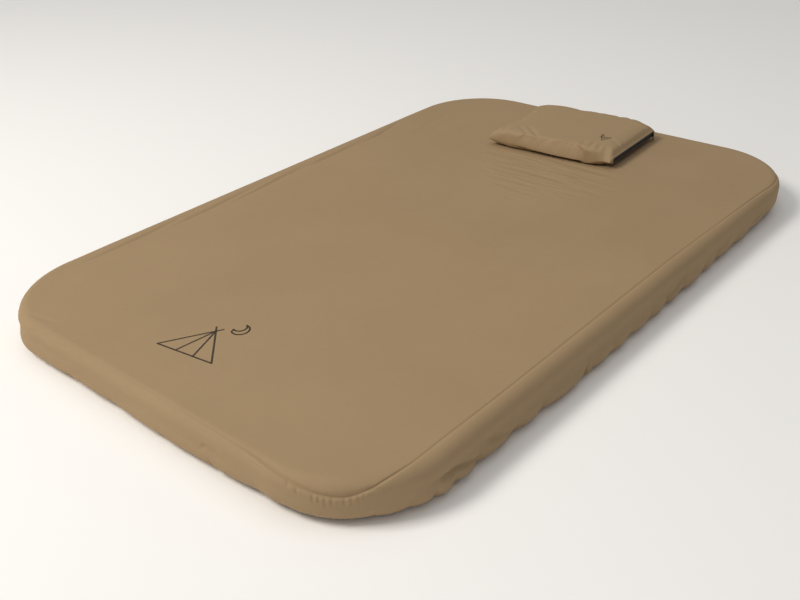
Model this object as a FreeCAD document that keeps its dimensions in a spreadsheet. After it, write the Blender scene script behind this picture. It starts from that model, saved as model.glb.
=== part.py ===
import FreeCAD, Part
import math
import os
import Sketcher

# A double self-inflating sleeping pad, dressed in a fitted sheet whose elastic hem grips the
# pad's lower edge, with a zipped pillow pouch lying on the head end.
# Row frame: X across the pad, Y towards the head, Z up. The origin is the middle of the underside.

DIMENSIONS = {
    # Pad: a rounded slab with a tight top shoulder and a large lower one
    "pad_width": 1310,
    "pad_length": 2010,
    "pad_height": 103,
    "pad_corner": 251,
    "pad_top_round": 29,
    "pad_bottom_round": 45,
    "skin_wall": 0.5,
    "weld_top_z": 88,
    "weld_bottom_z": 10,
    # Fitted sheet: one panel on top, one band round the sides, a hem with an elastic in it
    "sheet_gap": 0.4,
    "sheet_wall": 0.6,
    "sheet_seam_z": 100.5,
    "hem_low_z": 4,
    "hem_high_z": 12.5,
    "hem_end_wall": 1.2,
    "hem_room": 2,
    "elastic_wall": 1,
    "elastic_end_gap": 1,
    # Valves in the underside: a dished base with a throat for the pump nozzle, and a hinged cap
    "valve_side": 455,
    "valve_foot": 830,
    "flange_radius": 40,
    "flange_wall": 1.5,
    "skin_hole_radius": 31,
    "dish_radius": 30,
    "dish_wall": 1.5,
    "dish_top": 7,
    "throat_radius": 12,
    "throat_wall": 2,
    "throat_top": 20,
    "throat_mouth_radius": 12.6,
    "nozzle_seat_z": 10,
    "pocket_gap": 1,
    "pocket_depth": 30,
    "guide_wall": 4,
    "guide_ring_radius": 9,
    "hub_radius": 3,
    "hub_hole_radius": 1.5,
    "spoke_width": 2,
    "flap_radius": 12,
    "flap_wall": 1.2,
    "flap_gap": 0.1,
    "stem_radius": 1.2,
    "stem_length": 4,
    "cap_low_z": 1,
    "cap_radius": 20,
    "cap_edge": 1,
    "cap_rim_z": 3.4,
    "cap_step_radius": 17,
    "cap_top_z": 4.6,
    "cap_web_z": 4,
    "plug_radius": 11.2,
    "plug_wall": 2,
    "plug_top_z": 9.5,
    "seal_inner_radius": 13,
    "seal_outer_radius": 16,
    "seal_wall": 2.2,
    "hinge_reach": 25,
    "hinge_z": 3.2,
    "barrel_radius": 2.2,
    "barrel_half": 6.2,
    "stub_radius": 1.1,
    "stub_length": 3,
    "ear_gap": 0.3,
    "ear_wall": 3,
    "ear_depth": 5,
    "ear_low_z": 1.2,
    "ear_hole_radius": 1.3,
    "tab_inner": 16,
    "tab_low_z": 1.2,
    # Pillow pouch, with its zip across the +X end
    "pouch_x": -19,
    "pouch_y": 757,
    "pouch_rise": 0.4,
    "pouch_turn": 3,
    "pouch_width": 430,
    "pouch_length": 320,
    "pouch_height": 46,
    "pouch_corner": 16,
    "pouch_top_round": 13,
    "pouch_bottom_round": 13,
    "pouch_wall": 0.6,
    "fill_gap": 0.3,
    "zip_half": 140,
    "zip_window_half": 9,
    "zip_channel": 5,
    "zip_channel_half": 7,
    "chain_half": 2.2,
    "teeth_gap_half": 0.6,
    "tooth_pitch": 3,
    "tooth_width": 1.6,
    "tooth_out": 0.7,
    "tooth_in": 1.1,
    "stop_width": 2,
    "slider_length": 11,
    "slider_end_gap": 0.5,
    "slider_half": 4.5,
    "slider_plate": 1.2,
    "slider_gap": 0.5,
    "slider_web_half": 0.4,
    "slider_web_length": 3,
    "bail_reach": 3.2,
    "bail_half": 3.2,
    "bail_width_half": 1.2,
    "bail_hole_reach": 2,
    "bail_hole_half": 2,
    "pull_bar_radius": 0.6,
    "pull_bar_half": 3,
    "pull_arm_width": 1,
    "pull_arm_length": 5,
    "pull_tab_half": 4,
    "pull_tab_length": 16,
    "pull_tab_wall": 1,
    # Room that a cutting or slicing block has past the shape it works on
    "margin": 20,
}

doc = FreeCAD.newDocument("sleeping_pad")
table = doc.addObject("Spreadsheet::Sheet", "dims")
for row, (alias, size) in enumerate(DIMENSIONS.items(), start=1):
    table.set(f"A{row}", alias)
    table.set(f"B{row}", str(size))
    table.setAlias(f"B{row}", alias)
doc.recompute()

nodes = []


def bound(text):
    """The expression with each of the table's aliases given as the table's cell."""
    words = []
    word = ""
    for sign in text + " ":
        if sign.isalnum() or sign == "_":
            word += sign
            continue
        words.append(f"dims.{word}" if word in DIMENSIONS else word)
        words.append(sign)
        word = ""
    return "".join(words).strip()


def value(text):
    """The number that an expression in the table's aliases comes to."""
    found = table.evalExpression(bound(text))
    return float(getattr(found, "Value", found))


def bind(thing, **sizes):
    """Bind properties of an object to expressions. Two underscores stand for a dot in a name."""
    for name, text in sizes.items():
        thing.setExpression(name.replace("__", "."), bound(text))


def node(thing, name, place=None):
    """Take an object as a sub-part of the pad: its label names its file."""
    thing.Label = name
    if place is not None:
        thing.Placement = place
    nodes.append(thing)
    return thing


def box(name, size, corner):
    """A block with its three sizes and its lowest corner bound to expressions."""
    block = doc.addObject("Part::Box", name)
    bind(block, Length=size[0], Width=size[1], Height=size[2])
    bind(block, Placement__Base__x=corner[0], Placement__Base__y=corner[1], Placement__Base__z=corner[2])
    return block


def rod(name, radius, length, start, along="Z"):
    """A cylinder from a start point along +Z, +X or +Y, bound to expressions."""
    cylinder = doc.addObject("Part::Cylinder", name)
    if along == "X":
        cylinder.Placement = FreeCAD.Placement(
            FreeCAD.Vector(), FreeCAD.Rotation(FreeCAD.Vector(0, 1, 0), 90)
        )
    if along == "Y":
        cylinder.Placement = FreeCAD.Placement(
            FreeCAD.Vector(), FreeCAD.Rotation(FreeCAD.Vector(1, 0, 0), -90)
        )
    bind(cylinder, Radius=radius, Height=length)
    bind(cylinder, Placement__Base__x=start[0], Placement__Base__y=start[1], Placement__Base__z=start[2])
    return cylinder


def fuse(name, shapes):
    """Join several objects into one solid."""
    joined = doc.addObject("Part::MultiFuse", name)
    joined.Shapes = shapes
    joined.Refine = True
    return joined


def group(name, shapes):
    """Keep several separate solids as one object."""
    several = doc.addObject("Part::Compound", name)
    several.Links = shapes
    return several


def cut(name, base, tool):
    """Take one object away from another."""
    result = doc.addObject("Part::Cut", name)
    result.Base = base
    result.Tool = tool
    return result


def common(name, shapes):
    """Keep only what several objects share."""
    shared = doc.addObject("Part::MultiCommon", name)
    shared.Shapes = shapes
    return shared


def body_sketch(name, role):
    """A body with an empty sketch on one of its own origin planes."""
    body = doc.addObject("PartDesign::Body", name)
    plane = [feature for feature in body.Origin.OriginFeatures if feature.Role == role][0]
    sketch = body.newObject("Sketcher::SketchObject", f"{name}_sketch")
    sketch.AttachmentSupport = (plane, [""])
    sketch.MapMode = "FlatFace"
    return body, sketch


def measured(sketch, kind, points, text, name):
    """Add a dimension to a sketch and bind it to an expression."""
    index = sketch.addConstraint(Sketcher.Constraint(kind, *points, value(text)))
    sketch.renameConstraint(index, name)
    bind(sketch, **{f"Constraints__{name}": text})


def outline(sketch, width, length, corner):
    """Draw a rounded rectangle about the sketch's origin: four arcs, and four lines between them."""
    round_off = value(corner)
    reach_x = value(width) / 2 - round_off
    reach_y = value(length) / 2 - round_off
    arcs = []
    for side_x, side_y, angle in ((1, -1, -90), (1, 1, 0), (-1, 1, 90), (-1, -1, 180)):
        centre = FreeCAD.Vector(side_x * reach_x, side_y * reach_y, 0)
        circle = Part.Circle(centre, FreeCAD.Vector(0, 0, 1), round_off)
        begin = math.radians(angle)
        arcs.append(Part.ArcOfCircle(circle, begin, begin + math.pi / 2))
    lines = [
        Part.LineSegment(arc.EndPoint, following.StartPoint)
        for arc, following in zip(arcs, arcs[1:] + arcs[:1])
    ]
    arc_ids = [sketch.addGeometry(arc) for arc in arcs]
    right, top, left, bottom = [sketch.addGeometry(line) for line in lines]
    for k, line in enumerate((right, top, left, bottom)):
        sketch.addConstraint(Sketcher.Constraint("Tangent", arc_ids[k], 2, line, 1))
        sketch.addConstraint(Sketcher.Constraint("Tangent", line, 2, arc_ids[(k + 1) % 4], 1))
        sketch.addConstraint(Sketcher.Constraint("Horizontal" if k % 2 else "Vertical", line))
    for arc in arc_ids[1:]:
        sketch.addConstraint(Sketcher.Constraint("Equal", arc_ids[0], arc))
    sketch.addConstraint(Sketcher.Constraint("Symmetric", arc_ids[0], 3, arc_ids[2], 3, -1, 1))
    measured(sketch, "DistanceX", (left, 1, right, 1), width, "width")
    measured(sketch, "DistanceY", (bottom, 1, top, 1), length, "length")
    measured(sketch, "Radius", (arc_ids[0],), corner, "corner")


def edges_at(shape, height):
    """The names of a shape's edges that lie at one height."""
    close = 1e-6
    return [
        f"Edge{k}"
        for k, edge in enumerate(shape.Edges, start=1)
        if abs(edge.BoundBox.ZMin - height) < close and abs(edge.BoundBox.ZMax - height) < close
    ]


def slab(name, family, grow):
    """A rounded slab standing `grow` outside the pad or the pouch on every side."""
    body, sketch = body_sketch(name, "XY_Plane")
    bind(sketch, AttachmentOffset__Base__z=f"-({grow})")
    outline(
        sketch,
        f"{family}_width + 2 * ({grow})",
        f"{family}_length + 2 * ({grow})",
        f"{family}_corner + ({grow})",
    )
    block = body.newObject("PartDesign::Pad", f"{name}_block")
    block.Profile = sketch
    bind(block, Length=f"{family}_height + 2 * ({grow})")
    doc.recompute()
    top = value(f"{family}_height + ({grow})")
    bottom = value(f"-({grow})")
    base = block
    for side, height in (("top", top), ("bottom", bottom)):
        rounding = body.newObject("PartDesign::Fillet", f"{name}_{side}_round")
        rounding.Base = (base, edges_at(base.Shape, height))
        bind(rounding, Radius=f"{family}_{side}_round + ({grow})")
        doc.recompute()
        base = rounding
    return body


def turned(name, profile):
    """A body turned about its own Z axis, from (radius, height) corners."""
    body, sketch = body_sketch(name, "XZ_Plane")
    spots = [FreeCAD.Vector(value(radius), value(height), 0) for radius, height in profile]
    lines = [
        sketch.addGeometry(Part.LineSegment(spot, following))
        for spot, following in zip(spots, spots[1:] + spots[:1])
    ]
    for line, following in zip(lines, lines[1:] + lines[:1]):
        sketch.addConstraint(Sketcher.Constraint("Coincident", line, 2, following, 1))
    for k, (line, (radius, height)) in enumerate(zip(lines, profile)):
        measured(sketch, "DistanceY", (-1, 1, line, 1), height, f"height_{k}")
        if radius == "0":
            sketch.addConstraint(Sketcher.Constraint("PointOnObject", line, 1, -2))
        else:
            measured(sketch, "DistanceX", (-1, 1, line, 1), radius, f"radius_{k}")
    turning = body.newObject("PartDesign::Revolution", f"{name}_turning")
    turning.Profile = sketch
    turning.ReferenceAxis = (sketch, ["V_Axis"])
    turning.Angle = 360
    doc.recompute()
    return body


def shell(name, family, outer, inner, low, high):
    """The skin between two slabs, from one height to another."""
    hollow = cut(f"{name}_hollow", outer, inner)
    reach_x = f"{family}_width / 2 + margin"
    reach_y = f"{family}_length / 2 + margin"
    layer = box(
        f"{name}_layer",
        (f"2 * ({reach_x})", f"2 * ({reach_y})", f"({high}) - ({low})"),
        (f"-({reach_x})", f"-({reach_y})", low),
    )
    result = doc.addObject("Part::Common", name)
    result.Base = hollow
    result.Tool = layer
    return result


# --- Valves: both stand on the same base; one fills, with a flap, and the other lets the air out ---

VALVES = {"inflate": "-valve_side", "deflate": "valve_side"}
VALVE_Y = "-valve_foot"


def valve_place(side):
    """Where a valve's axis stands in the pad's underside."""
    return FreeCAD.Placement(FreeCAD.Vector(value(side), value(VALVE_Y), 0), FreeCAD.Rotation())


def valve_base(prefix, side):
    """The dished flange with its throat, and the two ears that hold the cap's hinge."""
    flange_top = "skin_wall + flange_wall"
    dish_outside = "dish_radius + dish_wall"
    floor_top = "dish_top + dish_wall"
    throat_outside = "throat_radius + throat_wall"
    dish = turned(
        f"{prefix}_dish",
        [
            ("dish_radius", "skin_wall"),
            ("flange_radius", "skin_wall"),
            ("flange_radius", flange_top),
            (dish_outside, flange_top),
            (dish_outside, floor_top),
            (throat_outside, floor_top),
            (throat_outside, "throat_top"),
            ("throat_radius", "throat_top"),
            ("throat_radius", "nozzle_seat_z"),
            ("throat_mouth_radius", "nozzle_seat_z"),
            ("throat_mouth_radius", "dish_top"),
            ("dish_radius", "dish_top"),
        ],
    )
    ears = [
        box(
            f"{prefix}_ear_{k}",
            ("ear_wall", "ear_depth", "dish_top + dish_wall / 2 - ear_low_z"),
            (start, "hinge_reach - ear_depth / 2", "ear_low_z"),
        )
        for k, start in enumerate(("barrel_half + ear_gap", "-(barrel_half + ear_gap + ear_wall)"))
    ]
    hole = rod(
        f"{prefix}_ear_hole",
        "ear_hole_radius",
        "2 * dish_radius",
        ("-dish_radius", "hinge_reach", "hinge_z"),
        along="X",
    )
    drilled = cut(f"{prefix}_drilled_ears", fuse(f"{prefix}_ears", ears), hole)
    return node(fuse(f"{prefix}_base", [dish, drilled]), f"{prefix}_valve_base", valve_place(side))


def valve_guide(prefix, side, name, hub_hole):
    """The ring with cross bars on top of the throat: the flap's seat, or a plain grille."""
    low = "throat_top"
    ring = cut(
        f"{prefix}_ring",
        rod(f"{prefix}_ring_outside", "throat_radius + throat_wall", "guide_wall", ("0", "0", low)),
        rod(f"{prefix}_ring_inside", "guide_ring_radius", "guide_wall", ("0", "0", low)),
    )
    reach = "guide_ring_radius + throat_wall"
    half = "spoke_width / 2"
    span = f"2 * ({reach})"
    across = box(f"{prefix}_spoke_x", (span, "spoke_width", "guide_wall"), (f"-({reach})", f"-{half}", low))
    along = box(f"{prefix}_spoke_y", ("spoke_width", span, "guide_wall"), (f"-{half}", f"-({reach})", low))
    hub = rod(f"{prefix}_hub", "hub_radius", "guide_wall", ("0", "0", low))
    guide = fuse(f"{prefix}_guide", [ring, across, along, hub])
    if hub_hole:
        hole = rod(f"{prefix}_hub_hole", "hub_hole_radius", "guide_wall", ("0", "0", low))
        guide = cut(f"{prefix}_drilled_guide", guide, hole)
    return node(guide, name, valve_place(side))


def valve_flap(prefix, side):
    """The silicone check flap, whose stem slides in the guide's hub."""
    low = "throat_top + guide_wall + flap_gap"
    disc = rod(f"{prefix}_flap_disc", "flap_radius", "flap_wall", ("0", "0", low))
    stem = rod(
        f"{prefix}_flap_stem", "stem_radius", "stem_length + flap_wall / 2", ("0", "0", f"{low} - stem_length")
    )
    return node(fuse(f"{prefix}_flap", [disc, stem]), f"{prefix}_valve_flap", valve_place(side))


def valve_cap(prefix, side):
    """The cap: a disc with a hollow plug, and a tab whose barrel has a stub at each end."""
    plug_inside = "plug_radius - plug_wall"
    disc = turned(
        f"{prefix}_cap_disc",
        [
            ("0", "cap_low_z"),
            ("cap_radius - cap_edge", "cap_low_z"),
            ("cap_radius", "cap_low_z + cap_edge"),
            ("cap_radius", "cap_rim_z"),
            ("cap_step_radius", "cap_top_z"),
            ("plug_radius", "cap_top_z"),
            ("plug_radius", "plug_top_z"),
            (plug_inside, "plug_top_z"),
            (plug_inside, "cap_web_z"),
            ("0", "cap_web_z"),
        ],
    )
    tab = box(
        f"{prefix}_cap_tab",
        ("2 * barrel_half", "hinge_reach - tab_inner", "cap_rim_z - tab_low_z"),
        ("-barrel_half", "tab_inner", "tab_low_z"),
    )
    barrel = rod(
        f"{prefix}_barrel",
        "barrel_radius",
        "2 * barrel_half",
        ("-barrel_half", "hinge_reach", "hinge_z"),
        along="X",
    )
    stub_end = "barrel_half + stub_length"
    stubs = rod(
        f"{prefix}_stubs",
        "stub_radius",
        f"2 * ({stub_end})",
        (f"-({stub_end})", "hinge_reach", "hinge_z"),
        along="X",
    )
    cap = fuse(f"{prefix}_cap", [disc, tab, barrel, stubs])
    return node(cap, f"{prefix}_valve_cap", valve_place(side))


def cap_seal(prefix, side):
    """The flat silicone ring on the cap, round the plug."""
    outside = rod(f"{prefix}_seal_outside", "seal_outer_radius", "seal_wall", ("0", "0", "cap_top_z"))
    inside = rod(f"{prefix}_seal_inside", "seal_inner_radius", "seal_wall", ("0", "0", "cap_top_z"))
    return node(cut(f"{prefix}_seal", outside, inside), f"{prefix}_cap_seal", valve_place(side))


for prefix, side in VALVES.items():
    valve_base(prefix, side)
    valve_cap(prefix, side)
    cap_seal(prefix, side)
valve_guide("inflate", VALVES["inflate"], "inflate_flap_guide", hub_hole=True)
valve_flap("inflate", VALVES["inflate"])
valve_guide("deflate", VALVES["deflate"], "deflate_valve_grille", hub_hole=False)


# --- Pad: a foam core inside three welded skins ---

pad_outside = slab("pad_outside", "pad", "0")
pad_inside = slab("pad_inside", "pad", "-skin_wall")

pockets = []
holes = []
for prefix, side in VALVES.items():
    steps = (
        ("flange", "flange_radius", "skin_wall + flange_wall"),
        ("dish", "dish_radius + dish_wall", "dish_top + dish_wall"),
        ("throat", "throat_radius + throat_wall", "pocket_depth"),
    )
    for step, radius, top in steps:
        spot = (side, VALVE_Y, "-margin")
        pockets.append(rod(f"{prefix}_{step}_pocket", f"{radius} + pocket_gap", f"{top} + margin", spot))
    holes.append(rod(f"{prefix}_skin_hole", "skin_hole_radius", "2 * margin", (side, VALVE_Y, "-margin")))

node(cut("core", pad_inside, fuse("valve_pockets", pockets)), "foam_core")
node(
    shell("top_skin", "pad", pad_outside, pad_inside, "weld_top_z", "pad_height + margin"),
    "pad_top_skin",
)
node(shell("side_wall", "pad", pad_outside, pad_inside, "weld_bottom_z", "weld_top_z"), "pad_side_wall")
bottom_skin = shell("bottom_skin", "pad", pad_outside, pad_inside, "-margin", "weld_bottom_z")
holed_skin = cut("bottom_skin_with_holes", bottom_skin, fuse("skin_holes", holes))

# The base skin is six areas that butt on the valves' centre lines, so that none goes round a hole.
areas = []
strips = (
    ("outer_left", "-pad_width", "pad_width - valve_side"),
    ("middle", "-valve_side", "2 * valve_side"),
    ("outer_right", "valve_side", "pad_width"),
)
ends = (("foot", "-pad_length", f"pad_length + ({VALVE_Y})"), ("main", VALVE_Y, "2 * pad_length"))
for strip, strip_start, strip_size in strips:
    for end, end_start, end_size in ends:
        block = box(
            f"{strip}_{end}_block",
            (strip_size, end_size, "weld_bottom_z + 2 * margin"),
            (strip_start, end_start, "-margin"),
        )
        areas.append(common(f"{strip}_{end}_area", [holed_skin, block]))
node(group("bottom_skin_areas", areas), "pad_bottom_skin")


# --- Fitted sheet ---

SHEET_OUT = "sheet_gap + sheet_wall"
ROOM_OUT = f"{SHEET_OUT} + hem_room"
ELASTIC_IN = f"{SHEET_OUT} + (hem_room - elastic_wall) / 2"
sheet_inside = slab("sheet_inside", "pad", "sheet_gap")
sheet_outside = slab("sheet_outside", "pad", SHEET_OUT)
hem_room_outside = slab("hem_room_outside", "pad", ROOM_OUT)
hem_outside = slab("hem_outside", "pad", f"{ROOM_OUT} + sheet_wall")
elastic_inside = slab("elastic_inside", "pad", ELASTIC_IN)
elastic_outside = slab("elastic_outside", "pad", f"{ELASTIC_IN} + elastic_wall")

node(
    shell("top_panel", "pad", sheet_outside, sheet_inside, "sheet_seam_z", "pad_height + margin"),
    "sheet_top_panel",
)
node(shell("side_band", "pad", sheet_outside, sheet_inside, "hem_high_z", "sheet_seam_z"), "sheet_side_band")
hem_block = shell("hem_block", "pad", hem_outside, sheet_inside, "hem_low_z", "hem_high_z")
hem_room = shell(
    "hem_room_shell",
    "pad",
    hem_room_outside,
    sheet_outside,
    "hem_low_z + hem_end_wall",
    "hem_high_z - hem_end_wall",
)
node(cut("hem_casing", hem_block, hem_room), "sheet_hem_casing")
elastic = shell(
    "elastic",
    "pad",
    elastic_outside,
    elastic_inside,
    "hem_low_z + hem_end_wall + elastic_end_gap",
    "hem_high_z - hem_end_wall - elastic_end_gap",
)
node(elastic, "hem_elastic")


# --- Pillow pouch, modelled about its own centre on the sheet and then set down, a little turned ---

pouch_place = FreeCAD.Placement(
    FreeCAD.Vector(value("pouch_x"), value("pouch_y"), value(f"pad_height + {SHEET_OUT} + pouch_rise")),
    FreeCAD.Rotation(FreeCAD.Vector(0, 0, 1), value("pouch_turn")),
)
END = "pouch_width / 2"
MIDDLE = "pouch_height / 2"
pouch_outside = slab("pouch_outside", "pouch", "0")
pouch_inside = slab("pouch_inside", "pouch", "-pouch_wall")
fill_block = slab("fill_block", "pouch", "-(pouch_wall + fill_gap)")


def zip_block(name, half):
    """A block that clears the zip's opening in the +X end, so far above and below its middle."""
    return box(
        name,
        ("zip_channel + margin", "2 * zip_half", f"2 * {half}"),
        (f"{END} - zip_channel", "-zip_half", f"{MIDDLE} - {half}"),
    )


top_half = shell("pouch_top_half", "pouch", pouch_outside, pouch_inside, MIDDLE, "pouch_height + margin")
low_half = shell("pouch_low_half", "pouch", pouch_outside, pouch_inside, "-margin", MIDDLE)
window = zip_block("zip_window", "zip_window_half")
node(cut("pouch_top", top_half, window), "pouch_top_panel", pouch_place)
node(cut("pouch_low", low_half, window), "pouch_bottom_panel", pouch_place)
node(cut("fill", fill_block, zip_block("slider_room", "zip_channel_half")), "pouch_fill", pouch_place)

for name, low in (("lower", f"{MIDDLE} - zip_window_half"), ("upper", f"{MIDDLE} + chain_half")):
    tape = box(
        f"tape_{name}",
        ("pouch_wall", "2 * zip_half", "zip_window_half - chain_half"),
        (f"{END} - pouch_wall", "-zip_half", low),
    )
    node(group(f"tape_{name}_set_down", [tape]), f"zip_tape_{name}", pouch_place)


def teeth_row(name, low, offset):
    """One row of separate coil teeth along its tape's edge, stepping by the pitch."""
    width = value("tooth_width")
    pitch = value("tooth_pitch")
    first = -value("zip_half - stop_width") + width / 2 + offset
    count = int((2 * value("zip_half - stop_width") - width - offset) // pitch)
    size = (value("tooth_in + tooth_out"), width, value("chain_half - teeth_gap_half"))
    teeth = [
        Part.makeBox(*size, FreeCAD.Vector(value(f"{END} - tooth_in"), first + k * pitch, value(low)))
        for k in range(count)
    ]
    row = doc.addObject("Part::Feature", name)
    row.Shape = Part.makeCompound(teeth)
    return node(row, name, pouch_place)


teeth_row("zip_teeth_lower", f"{MIDDLE} - chain_half", 0)
teeth_row("zip_teeth_upper", f"{MIDDLE} + teeth_gap_half", value("tooth_pitch") / 2)

stops = [
    box(
        f"stop_{k}",
        ("tooth_in + tooth_out", "stop_width", "2 * chain_half"),
        (f"{END} - tooth_in", start, f"{MIDDLE} - chain_half"),
    )
    for k, start in enumerate(("-zip_half", "zip_half - stop_width"))
]
node(group("stops", stops), "zip_end_stops", pouch_place)

SLIDER_END = "zip_half - stop_width - slider_end_gap"
SLIDER_Y = f"{SLIDER_END} - slider_length / 2"
PLATE_X = f"{END} + tooth_out + slider_gap"
INNER_X = f"{END} - tooth_in - slider_gap"
BAIL_X = f"{PLATE_X} + slider_plate"
HINGE_X = f"{BAIL_X} + bail_hole_reach / 2"


def slider():
    """Two plates, one each side of the chain, the web between them, and the bail for the pull."""
    plate = ("slider_plate", "slider_length", "2 * slider_half")
    start_y = f"{SLIDER_END} - slider_length"
    start_z = f"{MIDDLE} - slider_half"
    outer_plate = box("slider_outer_plate", plate, (PLATE_X, start_y, start_z))
    inner_plate = box("slider_inner_plate", plate, (f"{INNER_X} - slider_plate", start_y, start_z))
    web = box(
        "slider_web",
        (f"({PLATE_X}) - ({INNER_X})", "slider_web_length", "2 * slider_web_half"),
        (INNER_X, f"{SLIDER_END} - slider_web_length", f"{MIDDLE} - slider_web_half"),
    )
    bail = box(
        "bail_block",
        ("bail_reach", "2 * bail_width_half", "2 * bail_half"),
        (BAIL_X, f"{SLIDER_Y} - bail_width_half", f"{MIDDLE} - bail_half"),
    )
    bail_hole = box(
        "bail_hole",
        ("bail_hole_reach", "2 * bail_width_half", "2 * bail_hole_half"),
        (BAIL_X, f"{SLIDER_Y} - bail_width_half", f"{MIDDLE} - bail_hole_half"),
    )
    return fuse("slider", [outer_plate, inner_plate, web, cut("bail", bail, bail_hole)])


def pull():
    """The pull hanging from the bail: a round bar, two arms and a flat tab."""
    bar = rod(
        "pull_bar",
        "pull_bar_radius",
        "2 * pull_bar_half",
        (HINGE_X, f"{SLIDER_Y} - pull_bar_half", MIDDLE),
        along="Y",
    )
    face = f"{HINGE_X} - pull_tab_wall / 2"
    arms = [
        box(
            f"pull_arm_{k}",
            ("pull_tab_wall", "pull_arm_width", "pull_arm_length"),
            (face, start, f"{MIDDLE} - pull_arm_length"),
        )
        for k, start in enumerate(
            (f"{SLIDER_Y} - pull_bar_half", f"{SLIDER_Y} + pull_bar_half - pull_arm_width")
        )
    ]
    tab = box(
        "pull_tab",
        ("pull_tab_wall", "2 * pull_tab_half", "pull_tab_length"),
        (face, f"{SLIDER_Y} - pull_tab_half", f"{MIDDLE} - pull_arm_length - pull_tab_length"),
    )
    return fuse("pull", [bar, *arms, tab])


node(slider(), "zip_slider", pouch_place)
node(pull(), "zip_pull", pouch_place)


# --- Check everything, then write one file per sub-part ---

doc.recompute()
for thing in doc.Objects:
    if "Invalid" in thing.State or "Error" in thing.State:
        raise RuntimeError(f"{thing.Name} failed: {thing.State}")
for thing in nodes:
    if thing.Shape.isNull() or not thing.Shape.isValid() or not thing.Shape.Solids:
        raise RuntimeError(f"{thing.Label} has no valid solid")

os.makedirs("parts", exist_ok=True)
for thing in nodes:
    thing.Shape.exportStep(f"parts/{thing.Label}.step")
    bounds = thing.Shape.BoundBox
    print(
        f"{thing.Label:22s} {len(thing.Shape.Solids):3d} solids {thing.Shape.Volume:14.1f} mm3 "
        f"x {bounds.XMin:8.1f} {bounds.XMax:8.1f}  y {bounds.YMin:8.1f} {bounds.YMax:8.1f}  "
        f"z {bounds.ZMin:6.2f} {bounds.ZMax:6.2f}"
    )
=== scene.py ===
"""A double self-inflating sleeping pad in its fitted sheet, with a zipped pillow pouch on the head end.

The pad lies along Y with its head end at +Y, its underside on the floor at z = 0. Lengths are in metres.
"""

from __future__ import annotations

import logging
import math
from dataclasses import dataclass, field
from enum import Enum
from typing import Any, Iterable, Sequence

import bmesh
import bpy
import numpy as np
from bpy.types import Material, Mesh, Node, NodeSocket, NodeTree, Object
from mathutils import Matrix, Vector
from mathutils.bvhtree import BVHTree


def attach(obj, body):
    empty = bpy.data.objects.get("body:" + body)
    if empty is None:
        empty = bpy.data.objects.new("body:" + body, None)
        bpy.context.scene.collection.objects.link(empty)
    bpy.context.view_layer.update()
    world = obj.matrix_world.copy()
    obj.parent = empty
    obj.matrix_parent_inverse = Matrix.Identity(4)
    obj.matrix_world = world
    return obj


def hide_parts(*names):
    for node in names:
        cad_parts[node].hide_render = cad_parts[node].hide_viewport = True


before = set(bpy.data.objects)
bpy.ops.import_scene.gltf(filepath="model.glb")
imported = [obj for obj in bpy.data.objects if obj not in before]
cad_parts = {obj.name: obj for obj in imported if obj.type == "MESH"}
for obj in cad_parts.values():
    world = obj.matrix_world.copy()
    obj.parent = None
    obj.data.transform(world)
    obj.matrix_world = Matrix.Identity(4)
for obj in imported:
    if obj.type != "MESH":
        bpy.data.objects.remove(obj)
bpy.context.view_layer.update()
MM = 0.001
# A band texture of scale 1 has about this many bands to the metre.
BANDS_PER_METRE = 3.14
# How near two vertices of a cloth's closing edge lie, at most, before they are merged.
CLOSE = 0.0002

logging.basicConfig(level=logging.INFO, format="%(message)s")
log = logging.getLogger("pad")


# ---------------------------------------------------------------- small helpers


def linear(code: str) -> tuple[float, float, float, float]:
    """Turns an sRGB hex colour into linear light.

    Args:
        code: the colour as "#rrggbb".

    Returns:
        Red, green and blue in linear light, and an alpha of 1.
    """
    parts = [int(code[i : i + 2], 16) / 255 for i in (1, 3, 5)]
    red, green, blue = (c / 12.92 if c <= 0.04045 else ((c + 0.055) / 1.055) ** 2.4 for c in parts)
    return (red, green, blue, 1.0)


def add_node(
    tree: NodeTree,
    kind: str,
    options: dict[str, Any] | None = None,
    inputs: dict[Any, Any] | None = None,
) -> Node:
    """Adds one shader node with its options, values and links.

    Args:
        tree: the node tree to add to.
        kind: the node's type name.
        options: properties of the node itself.
        inputs: socket name or number, to a value or to the socket that feeds it.

    Returns:
        The new node.
    """
    node = tree.nodes.new(kind)
    for name, value in (options or {}).items():
        setattr(node, name, value)
    for name, value in (inputs or {}).items():
        if isinstance(value, NodeSocket):
            tree.links.new(value, node.inputs[name])
        else:
            node.inputs[name].default_value = value
    return node


def eased(value: np.ndarray, low: float, high: float) -> np.ndarray:
    """Rises smoothly from 0 at low to 1 at high.

    Args:
        value: where to read the curve.
        low: the value at which the rise starts.
        high: the value at which it ends.

    Returns:
        The eased share, between 0 and 1.
    """
    share = np.clip((value - low) / (high - low), 0.0, 1.0)
    return share * share * (3.0 - 2.0 * share)


def read_points(mesh: Mesh) -> np.ndarray:
    """Reads a mesh's vertices as an array with one row each."""
    flat = np.empty(len(mesh.vertices) * 3)
    mesh.vertices.foreach_get("co", flat)
    return flat.reshape(-1, 3)


def write_points(mesh: Mesh, points: np.ndarray) -> None:
    """Writes an array with one row per vertex back into a mesh."""
    mesh.vertices.foreach_set("co", np.ascontiguousarray(points, dtype=float).ravel())
    mesh.update()


def finished_mesh(maker: bmesh.types.BMesh, name: str) -> Mesh:
    """Turns a bmesh into a new named mesh, and frees it."""
    mesh = bpy.data.meshes.new(name)
    maker.to_mesh(mesh)
    maker.free()
    return mesh


def put_in_scene(name: str, data: Any) -> Object:
    """Makes an object from a mesh, lamp or camera and links it to the scene."""
    item = bpy.data.objects.new(name, data)
    bpy.context.collection.objects.link(item)
    return item


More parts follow.
